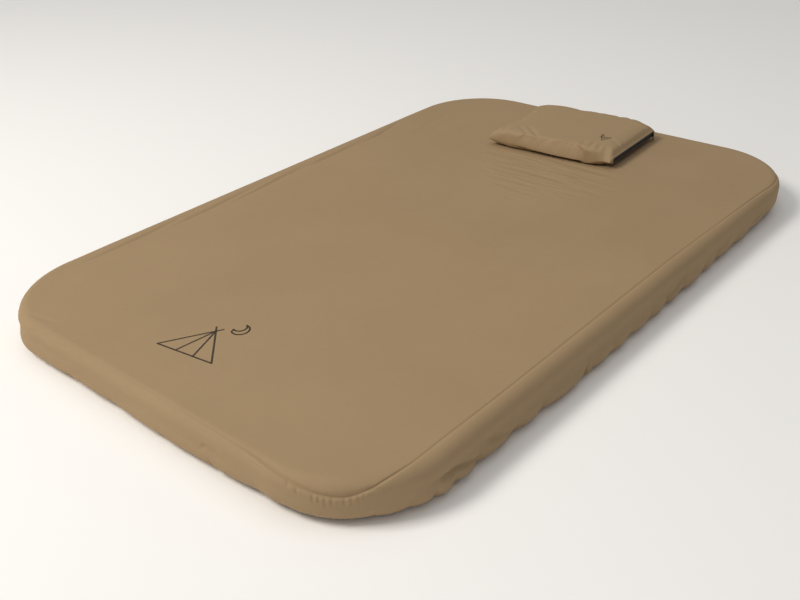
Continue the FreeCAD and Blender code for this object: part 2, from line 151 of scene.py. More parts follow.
def new_piece(name: str, mesh: Mesh, body: str) -> Object:
    """Puts a mesh into the scene as a smooth-shaded piece that rides on a body.

    Args:
        name: the piece's name.
        mesh: its mesh, already in place.
        body: the body that it moves with.

    Returns:
        The new object.
    """
    piece = put_in_scene(name, mesh)
    mesh.polygons.foreach_set("use_smooth", [True] * len(mesh.polygons))
    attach(piece, body)
    log.info("%s: %d faces on %s", name, len(mesh.polygons), body)
    return piece


def cloth_grid(name: str, columns: int, rows: int) -> tuple[Mesh, np.ndarray, np.ndarray]:
    """Makes a flat grid of faces, ready to be laid along an outline.

    Args:
        name: the mesh's name.
        columns: faces along the outline.
        rows: faces across it.

    Returns:
        The mesh, and for each vertex its column and row number.
    """
    maker = bmesh.new()
    maker.loops.layers.uv.new("UVMap")
    bmesh.ops.create_grid(maker, x_segments=columns, y_segments=rows, size=0.5, calc_uvs=True)
    mesh = finished_mesh(maker, name)
    points = read_points(mesh)
    column = np.rint((points[:, 0] + 0.5) * columns).astype(int)
    row = np.rint((points[:, 1] + 0.5) * rows).astype(int)
    return mesh, column, row


def write_uv(mesh: Mesh, across: np.ndarray, along: np.ndarray) -> None:
    """Writes each vertex's place on the flat cloth, in metres, as the UV map.

    Args:
        mesh: the mesh, before any of its vertices are merged.
        across: the first coordinate of each vertex.
        along: the second coordinate of each vertex.
    """
    corner = np.empty(len(mesh.loops), dtype=int)
    mesh.loops.foreach_get("vertex_index", corner)
    pairs = np.column_stack([across[corner], along[corner]])
    mesh.uv_layers["UVMap"].data.foreach_set("uv", pairs.ravel())


def weld(mesh: Mesh, chosen: np.ndarray, distance: float) -> None:
    """Merges the chosen vertices that lie on each other, which closes a loop of cloth or its middle.

    Args:
        mesh: the mesh to close.
        chosen: true for each vertex that may merge.
        distance: how near two vertices must be.
    """
    maker = bmesh.new()
    maker.from_mesh(mesh)
    maker.verts.ensure_lookup_table()
    picked = [maker.verts[int(i)] for i in np.flatnonzero(chosen)]
    bmesh.ops.remove_doubles(maker, verts=picked, dist=distance)
    maker.to_mesh(mesh)
    maker.free()


# ---------------------------------------------------------------- finishes


@dataclass(frozen=True)
class Finish:
    """A surface finish: its common name, its colour and how rough it is."""

    name: str
    colour: str
    roughness: float = 0.6

    def material(self) -> Material:
        """Makes the material, or returns the one that was made before.

        Returns:
            The Blender material of this finish.
        """
        known = bpy.data.materials.get(self.name)
        if known is not None:
            return known
        made = bpy.data.materials.new(self.name)
        made.use_nodes = True
        made.diffuse_color = linear(self.colour)
        tree = made.node_tree
        tree.nodes.clear()
        inputs = {"Base Color": linear(self.colour), "Roughness": self.roughness}
        shader = add_node(tree, "ShaderNodeBsdfPrincipled", inputs=inputs)
        add_node(tree, "ShaderNodeOutputMaterial", inputs={"Surface": shader.outputs["BSDF"]})
        self.paint(tree, shader)
        return made

    def paint(self, tree: NodeTree, shader: Node) -> None:
        """Adds this finish's own pattern. The plain finish has none.

        Args:
            tree: the material's node tree.
            shader: its Principled BSDF node.
        """

    def dress(self, *pieces: Object) -> None:
        """Gives the finish to pieces, in place of whatever they wear."""
        for piece in pieces:
            piece.data.materials.clear()
            piece.data.materials.append(self.material())

    def repaint(self, *nodes: str) -> None:
        """Gives the finish to CAD nodes through their objects' material slots."""
        for name in nodes:
            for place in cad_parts[name].material_slots:
                place.link = "OBJECT"
                place.material = self.material()


@dataclass(frozen=True)
class WovenCloth(Finish):
    """Plain-weave polyester, dyed in one colour.

    Flat threads over and under each other give a matte face with a faint bloom at a low angle. The
    threads are 0.25 mm apart, which is too fine to show from here, so they are drawn thread_mm apart.
    """

    thread_mm: float = 2.0
    slub_mm: float = 26.0
    shade: str = "#000000"
    sheen: float = 0.25
    bump: float = 0.10
    bump_depth: float = 0.0006
    slub_scale: float = 420.0
    shade_scale: float = 3.2
    ripple: float = 0.0
    pressed: tuple[float, float, float] | None = None

    def paint(self, tree: NodeTree, shader: Node) -> None:
        """Adds the threads, their slubs, a soft change of shade over the cloth, and its bloom.

        Args:
            tree: the material's node tree.
            shader: its Principled BSDF node.
        """
        place = add_node(tree, "ShaderNodeTexCoord")
        flat = place.outputs["UV"]
        per_metre = 1.0 / (self.thread_mm * MM)
        threads = []
        for direction in ("X", "Y"):
            wave = add_node(
                tree,
                "ShaderNodeTexWave",
                {"wave_type": "BANDS", "bands_direction": direction, "wave_profile": "SIN"},
                {"Vector": flat, "Scale": per_metre / BANDS_PER_METRE, "Distortion": 0.6, "Detail": 1.0},
            )
            long = self.slub_mm / 2.0
            stretch = (1.0, long, 1.0) if direction == "X" else (long, 1.0, 1.0)
            turned = add_node(tree, "ShaderNodeVectorMath", {"operation": "DIVIDE"}, {0: flat, 1: stretch})
            slub = add_node(
                tree,
                "ShaderNodeTexNoise",
                inputs={"Vector": turned.outputs[0], "Scale": self.slub_scale, "Detail": 2.0},
            )
            threads.append((wave.outputs["Fac"], slub.outputs["Fac"]))
        weave = add_node(
            tree, "ShaderNodeMath", {"operation": "MULTIPLY"}, {0: threads[0][0], 1: threads[1][0]}
        )
        slubs = add_node(tree, "ShaderNodeMath", {"operation": "ADD"}, {0: threads[0][1], 1: threads[1][1]})
        broad = add_node(
            tree,
            "ShaderNodeTexNoise",
            inputs={
                "Vector": place.outputs["Object"], "Scale": self.shade_scale, "Detail": 3.0, "Roughness": 0.6,
            },
        )
        tone = add_node(tree, "ShaderNodeMath", {"operation": "MULTIPLY_ADD"}, {0: slubs.outputs[0], 1: 0.55})
        tree.links.new(broad.outputs["Fac"], tone.inputs[2])
        mixed = add_node(
            tree,
            "ShaderNodeMapRange",
            inputs={0: tone.outputs[0], "From Min": 0.65, "From Max": 1.45, "To Min": 0.0, "To Max": 1.0},
        )
        colour = add_node(
            tree,
            "ShaderNodeMix",
            {"data_type": "RGBA"},
            {0: mixed.outputs[0], 6: linear(self.shade), 7: linear(self.colour)},
        )
        tree.links.new(colour.outputs[2], shader.inputs["Base Color"])
        height = add_node(
            tree, "ShaderNodeMath", {"operation": "MULTIPLY_ADD"}, {0: slubs.outputs[0], 1: 0.6}
        )
        tree.links.new(weave.outputs[0], height.inputs[2])
        raised = add_node(
            tree,
            "ShaderNodeBump",
            inputs={"Height": height.outputs[0], "Strength": self.bump, "Distance": self.bump_depth},
        )
        if self.ripple > 0.0:
            soft = add_node(
                tree,
                "ShaderNodeTexNoise",
                inputs={"Vector": place.outputs["Object"], "Scale": 9.0, "Detail": 2.5, "Distortion": 0.8},
            )
            rippled = add_node(
                tree,
                "ShaderNodeBump",
                inputs={"Height": soft.outputs["Fac"], "Strength": self.ripple, "Distance": 0.01},
            )
            tree.links.new(rippled.outputs[0], raised.inputs["Normal"])
            if self.pressed is not None:
                tree.links.new(self.pressed_folds(tree, place.outputs["Object"]), rippled.inputs["Normal"])
        tree.links.new(raised.outputs[0], shader.inputs["Normal"])
        shader.inputs["Sheen Weight"].default_value = self.sheen
        shader.inputs["Sheen Roughness"].default_value = 0.5
        shader.inputs["Sheen Tint"].default_value = linear(self.colour)
        shader.inputs["Specular IOR Level"].default_value = 0.25

    def pressed_folds(self, tree: NodeTree, place: NodeSocket) -> NodeSocket:
        """Adds the faint crosswise folds where the cloth is pressed down beside a weight.

        Args:
            tree: the material's node tree.
            place: the place on the object.

        Returns:
            The bumped normal.
        """
        x, y, reach = self.pressed
        pad_top = 0.104
        drawn = add_node(
            tree, "ShaderNodeVectorMath", {"operation": "MULTIPLY"}, {0: place, 1: (2.2, 15.0, 1.0)}
        )
        turned = add_node(
            tree, "ShaderNodeMapping", {"vector_type": "POINT"},
            {"Vector": drawn.outputs[0], "Rotation": (0.0, 0.0, 0.12)},
        )
        folds = add_node(
            tree, "ShaderNodeTexNoise",
            inputs={"Vector": turned.outputs[0], "Scale": 3.0, "Detail": 1.0, "Distortion": 0.4},
        )
        away = add_node(
            tree, "ShaderNodeVectorMath", {"operation": "DISTANCE"}, {0: place, 1: (x, y, pad_top)}
        )
        share = add_node(
            tree, "ShaderNodeMapRange", {"interpolation_type": "SMOOTHSTEP"},
            {
                0: away.outputs["Value"], "From Min": reach * 0.3, "From Max": reach,
                "To Min": 1.0, "To Max": 0.0,
            },
        )
        height = add_node(
            tree, "ShaderNodeMath", {"operation": "MULTIPLY"}, {0: folds.outputs["Fac"], 1: share.outputs[0]}
        )
        raised = add_node(
            tree, "ShaderNodeBump", inputs={"Height": height.outputs[0], "Strength": 0.5, "Distance": 0.016}
        )
        return raised.outputs[0]


@dataclass(frozen=True)
class GrainedFinish(Finish):
    """Anything moulded, coated, foamed, spun or painted: one colour with a grain of real size in mm."""

    grain_mm: float = 1.0
    grain_depth_mm: float = 0.1
    strength: float = 0.3
    shade: str = "#000000"
    shade_share: float = 0.2
    metallic: float = 0.0
    sheen: float = 0.0
    coat: float = 0.0
    cells: bool = False

    def paint(self, tree: NodeTree, shader: Node) -> None:
        """Adds the grain as bump and as a change of shade.

        Args:
            tree: the material's node tree.
            shader: its Principled BSDF node.
        """
        place = add_node(tree, "ShaderNodeTexCoord").outputs["Object"]
        scale = 1.0 / (self.grain_mm * MM)
        if self.cells:
            cells = add_node(tree, "ShaderNodeTexVoronoi", inputs={"Vector": place, "Scale": scale})
            grain = cells.outputs[0]
        else:
            grain = add_node(
                tree, "ShaderNodeTexNoise", inputs={"Vector": place, "Scale": scale, "Detail": 3.0}
            ).outputs["Fac"]
        broad = add_node(
            tree, "ShaderNodeTexNoise", inputs={"Vector": place, "Scale": scale / 14.0, "Detail": 2.0}
        )
        both = add_node(
            tree, "ShaderNodeMath", {"operation": "MULTIPLY"}, {0: grain, 1: broad.outputs["Fac"]}
        )
        amount = add_node(
            tree,
            "ShaderNodeMapRange",
            inputs={
                0: both.outputs[0], "From Min": 0.1, "From Max": 0.5,
                "To Min": self.shade_share, "To Max": 0.0,
            },
        )
        colour = add_node(
            tree,
            "ShaderNodeMix",
            {"data_type": "RGBA"},
            {0: amount.outputs[0], 6: linear(self.colour), 7: linear(self.shade)},
        )
        tree.links.new(colour.outputs[2], shader.inputs["Base Color"])
        raised = add_node(
            tree,
            "ShaderNodeBump",
            inputs={"Height": grain, "Strength": self.strength, "Distance": self.grain_depth_mm * MM},
        )
        tree.links.new(raised.outputs[0], shader.inputs["Normal"])
        shader.inputs["Metallic"].default_value = self.metallic
        shader.inputs["Sheen Weight"].default_value = self.sheen
        shader.inputs["Coat Weight"].default_value = self.coat


# Dyed polyester sheeting: matte, warm tan, with a faint bloom where it turns away.
SHEETING = WovenCloth(
    "tan_polyester_sheeting", "#a48b6a", 0.82, thread_mm=2.4, shade="#9b8363", ripple=0.06,
    pressed=(0.06, 0.50, 0.30),
)
# The pouch is cut from the same roll; its smaller pieces show the weave a little finer.
POUCH_CLOTH = WovenCloth("tan_polyester_pouch_cloth", "#a68d6c", 0.8, thread_mm=1.6, shade="#9e8665")
# TPU-coated pad fabric: a dull olive with a smooth, slightly waxy face.
PAD_SKIN = GrainedFinish(
    "olive_coated_pad_fabric", "#56584a", 0.55, grain_mm=1.2, grain_depth_mm=0.12, strength=0.35,
    shade="#45473b",
)
# The base fabric has a dotted grip print that looks like a coarse, dark grain.
GRIP_SKIN = GrainedFinish(
    "black_grip_base_fabric", "#2b2b2a", 0.7, grain_mm=3.0, grain_depth_mm=0.3, strength=0.5,
    shade="#161616", shade_share=0.6, cells=True,
)
# Open-cell polyurethane foam: pale, warm and dry, with pores of about a millimetre.
FOAM = GrainedFinish(
    "open_cell_foam", "#dccfa4", 0.95, grain_mm=1.4, grain_depth_mm=0.6, strength=0.7,
    shade="#b8a877", shade_share=0.7, cells=True,
)
# Injection-moulded ABS with a fine spark-eroded texture: black, with a soft highlight.
ABS = GrainedFinish(
    "black_moulded_abs", "#1c1c1c", 0.42, grain_mm=0.4, grain_depth_mm=0.03, strength=0.4, shade="#121212"
)
# Cast silicone: translucent grey to the eye, slightly greasy highlight.
SILICONE = GrainedFinish(
    "grey_cast_silicone", "#7d7f7e", 0.38, grain_mm=2.0, grain_depth_mm=0.02, strength=0.2,
    shade="#6d6f6e", coat=0.1,
)
# Knitted elastic: off-white with a ribbed, chalky face.
ELASTIC = GrainedFinish(
    "white_knitted_elastic", "#dcdad2", 0.9, grain_mm=1.1, grain_depth_mm=0.3, strength=0.6,
    shade="#bdbbb2", sheen=0.3,
)
# Siliconised polyester fibre: white, fluffy and without any highlight.
WADDING = GrainedFinish(
    "white_polyester_wadding", "#e8e6e0", 0.98, grain_mm=5.0, grain_depth_mm=3.0, strength=0.8,
    shade="#cfccc4", sheen=0.5,
)
# Woven polyester zip tape: deep black with a dry face.
ZIP_TAPE = GrainedFinish(
    "black_woven_zip_tape", "#171615", 0.85, grain_mm=0.7, grain_depth_mm=0.1, strength=0.6,
    shade="#0c0c0c", sheen=0.2,
)
# Extruded nylon coil: black and a little glossy, so each tooth catches a spark of light.
NYLON = GrainedFinish(
    "black_nylon_coil", "#121212", 0.35, grain_mm=0.6, grain_depth_mm=0.02, strength=0.2, shade="#0a0a0a"
)
# Spray-painted zinc: black lacquer over cast metal, with a hard clear highlight.
PAINTED_ZINC = GrainedFinish(
    "black_painted_zinc", "#161616", 0.3, grain_mm=0.5, grain_depth_mm=0.02, strength=0.2,
    shade="#0e0e0e", coat=0.4,
)
# Screen-printed ink: flat, dark brown-black, sunk into the threads.
INK = GrainedFinish(
    "dark_screen_print_ink", "#3a3128", 0.9, grain_mm=1.6, grain_depth_mm=0.1, strength=0.3, shade="#554839",
    shade_share=0.5,
)
# Pale painted floor: nearly white and matte.
FLOOR_PAINT = GrainedFinish(
    "pale_matte_floor_paint", "#fbfaf8", 0.9, grain_mm=30.0, grain_depth_mm=0.02, strength=0.05,
    shade="#f8f7f5",
)


# ---------------------------------------------------------------- the pad's outline and edge


@dataclass(frozen=True)
class Outline:
    """A rounded rectangle, followed anticlockwise from the middle of its +X side."""

    half_x: float
    half_y: float
    corner: float

    @property
    def runs(self) -> list[float]:
        """The nine runs' lengths, from half a side through the corners and ends to the other half."""
        bend = self.corner * math.pi / 2
        side, end = self.half_y - self.corner, 2 * (self.half_x - self.corner)
        return [side, bend, end, bend, 2 * side, bend, end, bend, side]

    @property
    def length(self) -> float:
        """The whole way round."""
        return sum(self.runs)

    def stations(self, count: int, corner_density: float = 1.8) -> np.ndarray:
        """Spreads points round the outline, closer together in the corners.

        Args:
            count: how many steps to take.
            corner_density: how many times closer the points are in a corner.

        Returns:
            The distance along the outline of each point, with the start again at the end.
        """
        ends = np.cumsum([0.0, *self.runs])
        weights = [length * (corner_density if i % 2 else 1.0) for i, length in enumerate(self.runs)]
        shares = np.cumsum([0.0, *weights]) / sum(weights)
        return np.interp(np.linspace(0.0, 1.0, count + 1), shares, ends)

    def spine(self, along: np.ndarray) -> tuple[np.ndarray, np.ndarray]:
        """Finds the corner centres and the outward directions.

        Args:
            along: distances along the outline.

        Returns:
            For each distance, the point one corner radius inside the outline, and the outward direction.
        """
        ends = np.cumsum([0.0, *self.runs])
        run = np.clip(np.searchsorted(ends, along, side="right") - 1, 0, 8)
        part = along - ends[run]
        x, y = self.half_x - self.corner, self.half_y - self.corner
        start_x = np.array([x, x, x, -x, -x, -x, -x, x, x])[run]
        start_y = np.array([0, y, y, y, y, -y, -y, -y, -y])[run]
        step_x = np.array([0, 0, -1, 0, 0, 0, 1, 0, 0])[run]
        step_y = np.array([1, 0, 0, 0, -1, 0, 0, 0, 1])[run]
        start_angle = np.array([0, 0, 1, 1, 2, 2, 3, 3, 4])[run] * math.pi / 2
        angle = start_angle + np.where(run % 2 == 1, part / self.corner, 0.0)
        base = np.column_stack([start_x + step_x * part, start_y + step_y * part])
        return base, np.column_stack([np.cos(angle), np.sin(angle)])


@dataclass(frozen=True)
class EdgeProfile:
    """The pad's edge in section: a flat top, a rounded shoulder, a short straight and a wide lower round."""

    top: float
    shoulder: float
    straight: float
    lower: float

    def place(self, down: np.ndarray) -> tuple[np.ndarray, np.ndarray, np.ndarray]:
        """Follows the section from the start of the shoulder, where down is 0.

        Args:
            down: distances down the section; negative ones are on the flat top.

        Returns:
            The distance in from the outline, the height, and the tilt of the surface from level.
        """
        bend = self.shoulder * math.pi / 2
        tilt = np.clip(down / self.shoulder, 0.0, math.pi / 2)
        swing = np.clip((down - bend - self.straight) / self.lower, 0.0, math.pi / 2)
        fall = np.clip(down - bend, 0.0, self.straight)
        under = np.maximum(down - bend - self.straight - self.lower * math.pi / 2, 0.0)
        inset = self.shoulder * (1 - np.sin(tilt)) + self.lower * (1 - np.cos(swing))
        inset = inset - np.minimum(down, 0.0) + under
        height = self.top - self.shoulder * (1 - np.cos(tilt)) - fall - self.lower * np.sin(swing)
        return inset, height, tilt + swing


@dataclass(frozen=True)
class Crease:
    """A pulled fold in cloth: a trench along a few points, with a soft ridge on each side of it."""

    path: tuple[tuple[float, float, float], ...]
    depth: float
    width: float

    def relief(self, points: np.ndarray) -> np.ndarray:
        """Finds how far the fold moves each point of the cloth outwards.

        Args:
            points: places on the cloth, one row each.

        Returns:
            The outward distances, negative in the trench.
        """
        route = np.array(self.path)
        reach = 4.0 * self.width
        near = np.all((points > route.min(axis=0) - reach) & (points < route.max(axis=0) + reach), axis=1)
        made = np.zeros(len(points))
        if not near.any():
            return made
        here = points[near]
        best = np.full(len(here), 1e9)
        share = np.zeros(len(here))
        count = len(route) - 1
        for i in range(count):
            step = route[i + 1] - route[i]
            along = np.clip((here - route[i]) @ step / (step @ step), 0.0, 1.0)
            away = np.linalg.norm(here - (route[i] + along[:, None] * step), axis=1)
            closer = away < best
            best = np.where(closer, away, best)
            share = np.where(closer, (i + along) / count, share)
        ratio = (best / self.width) ** 2
        fade = np.sqrt(np.clip(np.sin(math.pi * np.clip(share, 0.02, 0.98)), 0.0, 1.0))
        made[near] = -self.depth * fade * (1.0 - 0.9 * ratio) * np.exp(-ratio)
        return made


class PouchPart(Enum):
    """The areas of the pouch's cloth, as numbered on its faces."""

    LOWER = 0
    UPPER = 1
    SEAM = 2
    MOUTH = 3


@dataclass
class FittedSheet:
    """The fitted sheet: a top panel, a side band gathered onto a hem, and the elastic in the hem."""

    outline: Outline = field(default_factory=lambda: Outline(0.656, 1.006, 0.252))
    profile: EdgeProfile = field(default_factory=lambda: EdgeProfile(0.104, 0.030, 0.029, 0.046))
    steps: int = 1600
    hem_start: float = 0.1205
    hem_height: float = 0.0085
    hem_thickness: float = 0.0026
    groove_width: float = 0.0022
    pleat_depth: float = 0.0030
    gather_depth: float = 0.0012
    gather_count: int = 440
    # How full the side is between two pulls: everywhere, beside the near corner, and in a slow wave.
    fullness: float = 0.0094
    corner_fullness: float = 0.0036
    fullness_wave: float = 0.0014
    # Distances in mm from the seam of the rows of faces beside it, where the cloth bends most.
    seam_rows_mm: tuple[float, ...] = (0.0, 1.0, 2.0, 3.2, 4.6, 6.5, 9.0, 12.0)
    # How much of a swelling goes downwards where the cloth faces down, and how softly the floor stops it.
    floor_push: float = 0.6
    floor_ease: float = 0.003
    top_flat: tuple[float, float] = (1.34, 2.04)
    top_flat_corner: float = 0.265
    band_flat: tuple[float, float] = (6.25, 0.135)
    hem_flat: tuple[float, float] = (5.9, 0.012)
    # How far down the section the seam runs, at distances round the outline.
    seam_course: tuple[tuple[float, float], ...] = (
        (0.0, -0.006), (0.196, -0.006), (0.50, 0.002), (0.736, 0.010), (0.85, 0.020), (1.00, 0.040),
        (1.15, 0.040), (1.30, 0.020), (1.90, 0.014), (2.10, 0.036), (2.30, 0.020), (2.50, 0.006),
        (3.70, 0.006), (3.95, 0.026), (4.16, 0.040), (4.32, 0.018), (4.60, 0.010), (4.90, 0.011),
        (5.008, 0.014), (5.060, 0.018), (5.108, 0.025), (5.148, 0.036), (5.172, 0.043), (5.20, 0.048),
        (5.226, 0.050), (5.26, 0.044), (5.292, 0.029), (5.328, 0.016), (5.372, 0.005), (5.436, -0.008),
        (5.65, -0.005), (6.2152, -0.006),
    )
    # How deep the seam lies, at distances round the outline.
    seam_depth: tuple[tuple[float, float], ...] = (
        (0.0, 0.0020), (0.90, 0.0018), (2.50, 0.0012), (4.20, 0.0009), (4.45, 0.0004), (4.80, 0.0004),
        (4.95, 0.0010), (5.05, 0.0026), (5.15, 0.0036), (5.25, 0.0036), (5.30, 0.0022), (5.40, 0.0018),
        (6.2152, 0.0020),
    )
    # How far the lower side swells out or falls in, at distances round the outline.
    swell: tuple[tuple[float, float], ...] = (
        (0.0, 0.004), (0.20, 0.0), (0.45, -0.004), (0.75, -0.006), (0.90, -0.004), (1.20, 0.0), (3.70, 0.0),
        (3.90, 0.006), (4.04, 0.010), (4.18, 0.008), (4.30, 0.002), (4.45, -0.001), (4.60, 0.003),
        (4.75, 0.006), (4.88, 0.005), (4.97, 0.0), (5.05, -0.003), (5.14, -0.003), (5.22, 0.0),
        (5.36, -0.002), (5.44, 0.0), (5.65, 0.0005), (5.78, 0.002), (5.93, 0.006), (6.05, 0.006),
        (6.2152, 0.004),
    )
    # Small pleats that hang from the seam at the corners: where round the outline, and how long.
    pleats: tuple[tuple[float, float], ...] = (
        (5.124, 0.016), (5.144, 0.020), (5.176, 0.024), (5.188, 0.022), (5.199, 0.034), (5.212, 0.022),
        (5.236, 0.024), (5.249, 0.030), (5.262, 0.026), (5.272, 0.012), (4.115, 0.014), (4.133, 0.018),
        (4.150, 0.014), (1.02, 0.016), (1.038, 0.022), (1.053, 0.016), (2.11, 0.018), (2.128, 0.022),
    )
    # Where the elastic pulls the lower edge in, at distances round the outline.
    notches: tuple[float, ...] = (
        0.032, 0.118, 0.200, 0.330, 0.405, 0.520, 0.640, 0.730, 0.860, 0.985, 1.060, 1.190, 1.330, 1.410,
        1.560, 1.700, 1.790, 1.930, 2.050, 2.180, 2.260, 2.400, 2.540, 2.640, 2.800, 2.930, 3.080, 3.170,
        3.330, 3.450, 3.620, 3.740, 3.850, 3.990, 4.120, 4.240, 4.392, 4.560, 4.740, 4.900, 5.030, 5.100,
        5.290, 5.360, 5.420, 5.472, 5.548, 5.680, 5.772, 5.950, 5.968, 6.060, 6.148,
    )
    creases: tuple[Crease, ...] = (
        # long soft ridges just inside the left edge
        Crease(((-0.596, -0.730, 0.104), (-0.600, -0.560, 0.104), (-0.610, -0.400, 0.104)), 0.0044, 0.009),
        Crease(((-0.584, -0.440, 0.104), (-0.592, -0.290, 0.104), (-0.606, -0.110, 0.104)), 0.0048, 0.010),
        Crease(((-0.570, -0.233, 0.104), (-0.588, -0.060, 0.104), (-0.606, 0.120, 0.104)), 0.0044, 0.010),
        Crease(((-0.590, 0.020, 0.104), (-0.594, 0.220, 0.104), (-0.604, 0.400, 0.104)), 0.0046, 0.010),
        Crease(((-0.584, 0.240, 0.104), (-0.594, 0.430, 0.104), (-0.618, 0.568, 0.104)), 0.0046, 0.009),
        Crease(((-0.457, 0.413, 0.104), (-0.462, 0.52, 0.104), (-0.475, 0.630, 0.104)), 0.0016, 0.010),
        Crease(((-0.500, 0.52, 0.104), (-0.520, 0.62, 0.104), (-0.530, 0.72, 0.104)), 0.0016, 0.010),
        # a short pull at the end of the near corner's seam
        Crease(((0.590, -0.920, 0.090), (0.612, -0.897, 0.083)), 0.0016, 0.006),
        # tucks that the elastic pinches into the foot side
        Crease(((0.242, -0.988, 0.008), (0.236, -0.998, 0.032)), 0.0125, 0.0095),
        Crease(
            ((0.266, -1.000, 0.036), (0.252, -1.006, 0.060), (0.226, -1.006, 0.064), (0.208, -1.004, 0.046)),
            0.0032, 0.007,
        ),
        Crease(((-0.270, -0.988, 0.008), (-0.268, -0.999, 0.030)), 0.0090, 0.0075),
        # undercut folds along the right side
        Crease(
            ((0.655, -0.800, 0.060), (0.656, -0.735, 0.052), (0.655, -0.690, 0.038), (0.652, -0.660, 0.028)),
            0.0085, 0.010,
        ),
        Crease(((0.656, -0.640, 0.060), (0.656, -0.595, 0.042), (0.650, -0.530, 0.020)), 0.0050, 0.010),
        Crease(((0.648, 0.050, 0.022), (0.654, 0.130, 0.038), (0.656, 0.215, 0.058)), 0.0050, 0.010),
        Crease(((0.650, -0.360, 0.034), (0.655, -0.300, 0.044), (0.645, -0.243, 0.028)), 0.0030, 0.010),
        Crease(((0.645, 0.330, 0.026), (0.653, 0.400, 0.042), (0.656, 0.470, 0.056)), 0.0034, 0.010),
        Crease(((0.646, 0.560, 0.028), (0.654, 0.620, 0.044), (0.656, 0.700, 0.060)), 0.0034, 0.010),
        # pulls on the left and head sides
        Crease(((-0.640, -0.70, 0.026), (-0.655, -0.62, 0.046), (-0.656, -0.55, 0.060)), 0.0040, 0.010),
        Crease(((-0.640, 0.10, 0.026), (-0.655, 0.18, 0.048), (-0.656, 0.26, 0.064)), 0.0040, 0.010),
        Crease(((-0.20, 0.990, 0.026), (-0.12, 1.004, 0.046), (-0.04, 1.006, 0.062)), 0.0040, 0.010),
        Crease(((0.26, 0.990, 0.026), (0.20, 1.004, 0.050), (0.17, 1.006, 0.070)), 0.0060, 0.009),
        Crease(((-0.537, -0.966, 0.085), (-0.46, -0.970, 0.100), (-0.378, -0.955, 0.104)), 0.0014, 0.008),
    )

    def seam(self, along: np.ndarray) -> np.ndarray:
        """Finds how far down the section the seam is.

        Args:
            along: distances along the outline.

        Returns:
            The distance down the section of the seam at each.
        """
        places, downs = (np.array(v) for v in zip(*self.seam_course))
        spread = np.linspace(-0.03, 0.03, 7)
        whole = self.outline.length
        return np.mean([np.interp((along + s) % whole, places, downs) for s in spread], axis=0)

    def lobes(self, along: np.ndarray) -> np.ndarray:
        """Finds how full the cloth is between the places where the elastic pulls it in.

        Args:
            along: distances along the outline.

        Returns:
            0 at a pulled-in place, up to 1 between two of them.
        """
        whole = self.outline.length
        marks = np.array([self.notches[-1] - whole, *self.notches, self.notches[0] + whole])
        found = np.clip(np.searchsorted(marks, along, side="right") - 1, 0, len(marks) - 2)
        share = (along - marks[found]) / (marks[found + 1] - marks[found])
        return np.abs(np.sin(math.pi * share)) ** 0.62

    def relief(
        self, along: np.ndarray, down: np.ndarray, points: np.ndarray, fine: bool = True
    ) -> np.ndarray:
        """Adds up everything that moves the cloth in or out from the plain shape.

        Args:
            along: distances along the outline.
            down: distances down the section.
            points: the same places in space.
            fine: whether the seam groove and the small gathers count.

        Returns:
            The outward distance at each point.
        """
        whole = self.outline.length
        turn = 2 * math.pi / whole
        low = eased(down, 0.060, 0.100) * (1 - eased(down, 0.132, 0.150))
        beside_corner = eased(-np.abs(along - 5.87), -0.16, -0.04)
        fullness = self.fullness + self.corner_fullness * beside_corner
        fullness = fullness + self.fullness_wave * np.sin(turn * 7 * along)
        fullness *= 0.40 + 0.60 * eased(along, 5.33, 5.45) + 0.60 * (1 - eased(along, 0.5, 0.8))
        moved = low * (np.interp(along, *np.array(self.swell).T) + fullness * (self.lobes(along) - 0.15))
        moved += 0.0010 * np.sin(turn * 23 * along + 2.0 * np.sin(turn * 5 * along)) * eased(down, 0.02, 0.08)
        for crease in self.creases:
            moved += crease.relief(points)
        flat = eased(-down, -0.02, 0.05)
        x, y = points[:, 0], points[:, 1]
        waves = np.sin(5.1 * x + 2.3 * y + 0.7) * np.sin(3.7 * y - 1.9 * x)
        moved += flat * (0.0009 * waves - 0.0006)
        below = down - self.seam(along)
        deep = np.interp(along, *np.array(self.seam_depth).T)
        if not fine:
            return moved - deep * np.exp(-((below / 0.012) ** 2)) - self.pleat_room(along, below)
        soft = 1.0 + 2.6 * eased(deep, 0.0022, 0.0034) * (below < 0)
        moved -= deep * np.exp(-((below / (self.groove_width * soft)) ** 2))
        moved += 0.45 * deep * eased(below, 0.001, 0.007) * eased(-below, -0.034, -0.009)
        phase = turn * self.gather_count * along
        phase = phase + 2.6 * np.sin(turn * 37 * along) + 1.7 * np.sin(turn * 11 * along)
        moved += self.gather_depth * np.sin(phase) * eased(down, 0.106, 0.124)
        for place, drop in self.pleats:
            beside = along - place
            line = np.exp(-((beside / 0.0034) ** 2)) - 0.5 * np.exp(-((beside / 0.0075) ** 2))
            moved -= self.pleat_depth * line * eased(below, 0.0, 0.004) * eased(-below, -drop, -0.4 * drop)
        return moved

    def pleat_room(self, along: np.ndarray, below: np.ndarray) -> np.ndarray:
        """Finds how far the pad gives way under the pleats that hang from the seam.

        Args:
            along: distances along the outline.
            below: distances below the seam.

        Returns:
            The depth of the give at each point.
        """
        give = np.zeros_like(along)
        for place, drop in self.pleats:
            near = np.exp(-(((along - place) / 0.012) ** 2))
            give = np.maximum(give, near * eased(-below, -drop - 0.01, -0.4 * drop))
        return 0.0022 * give * eased(below, -0.008, 0.004)

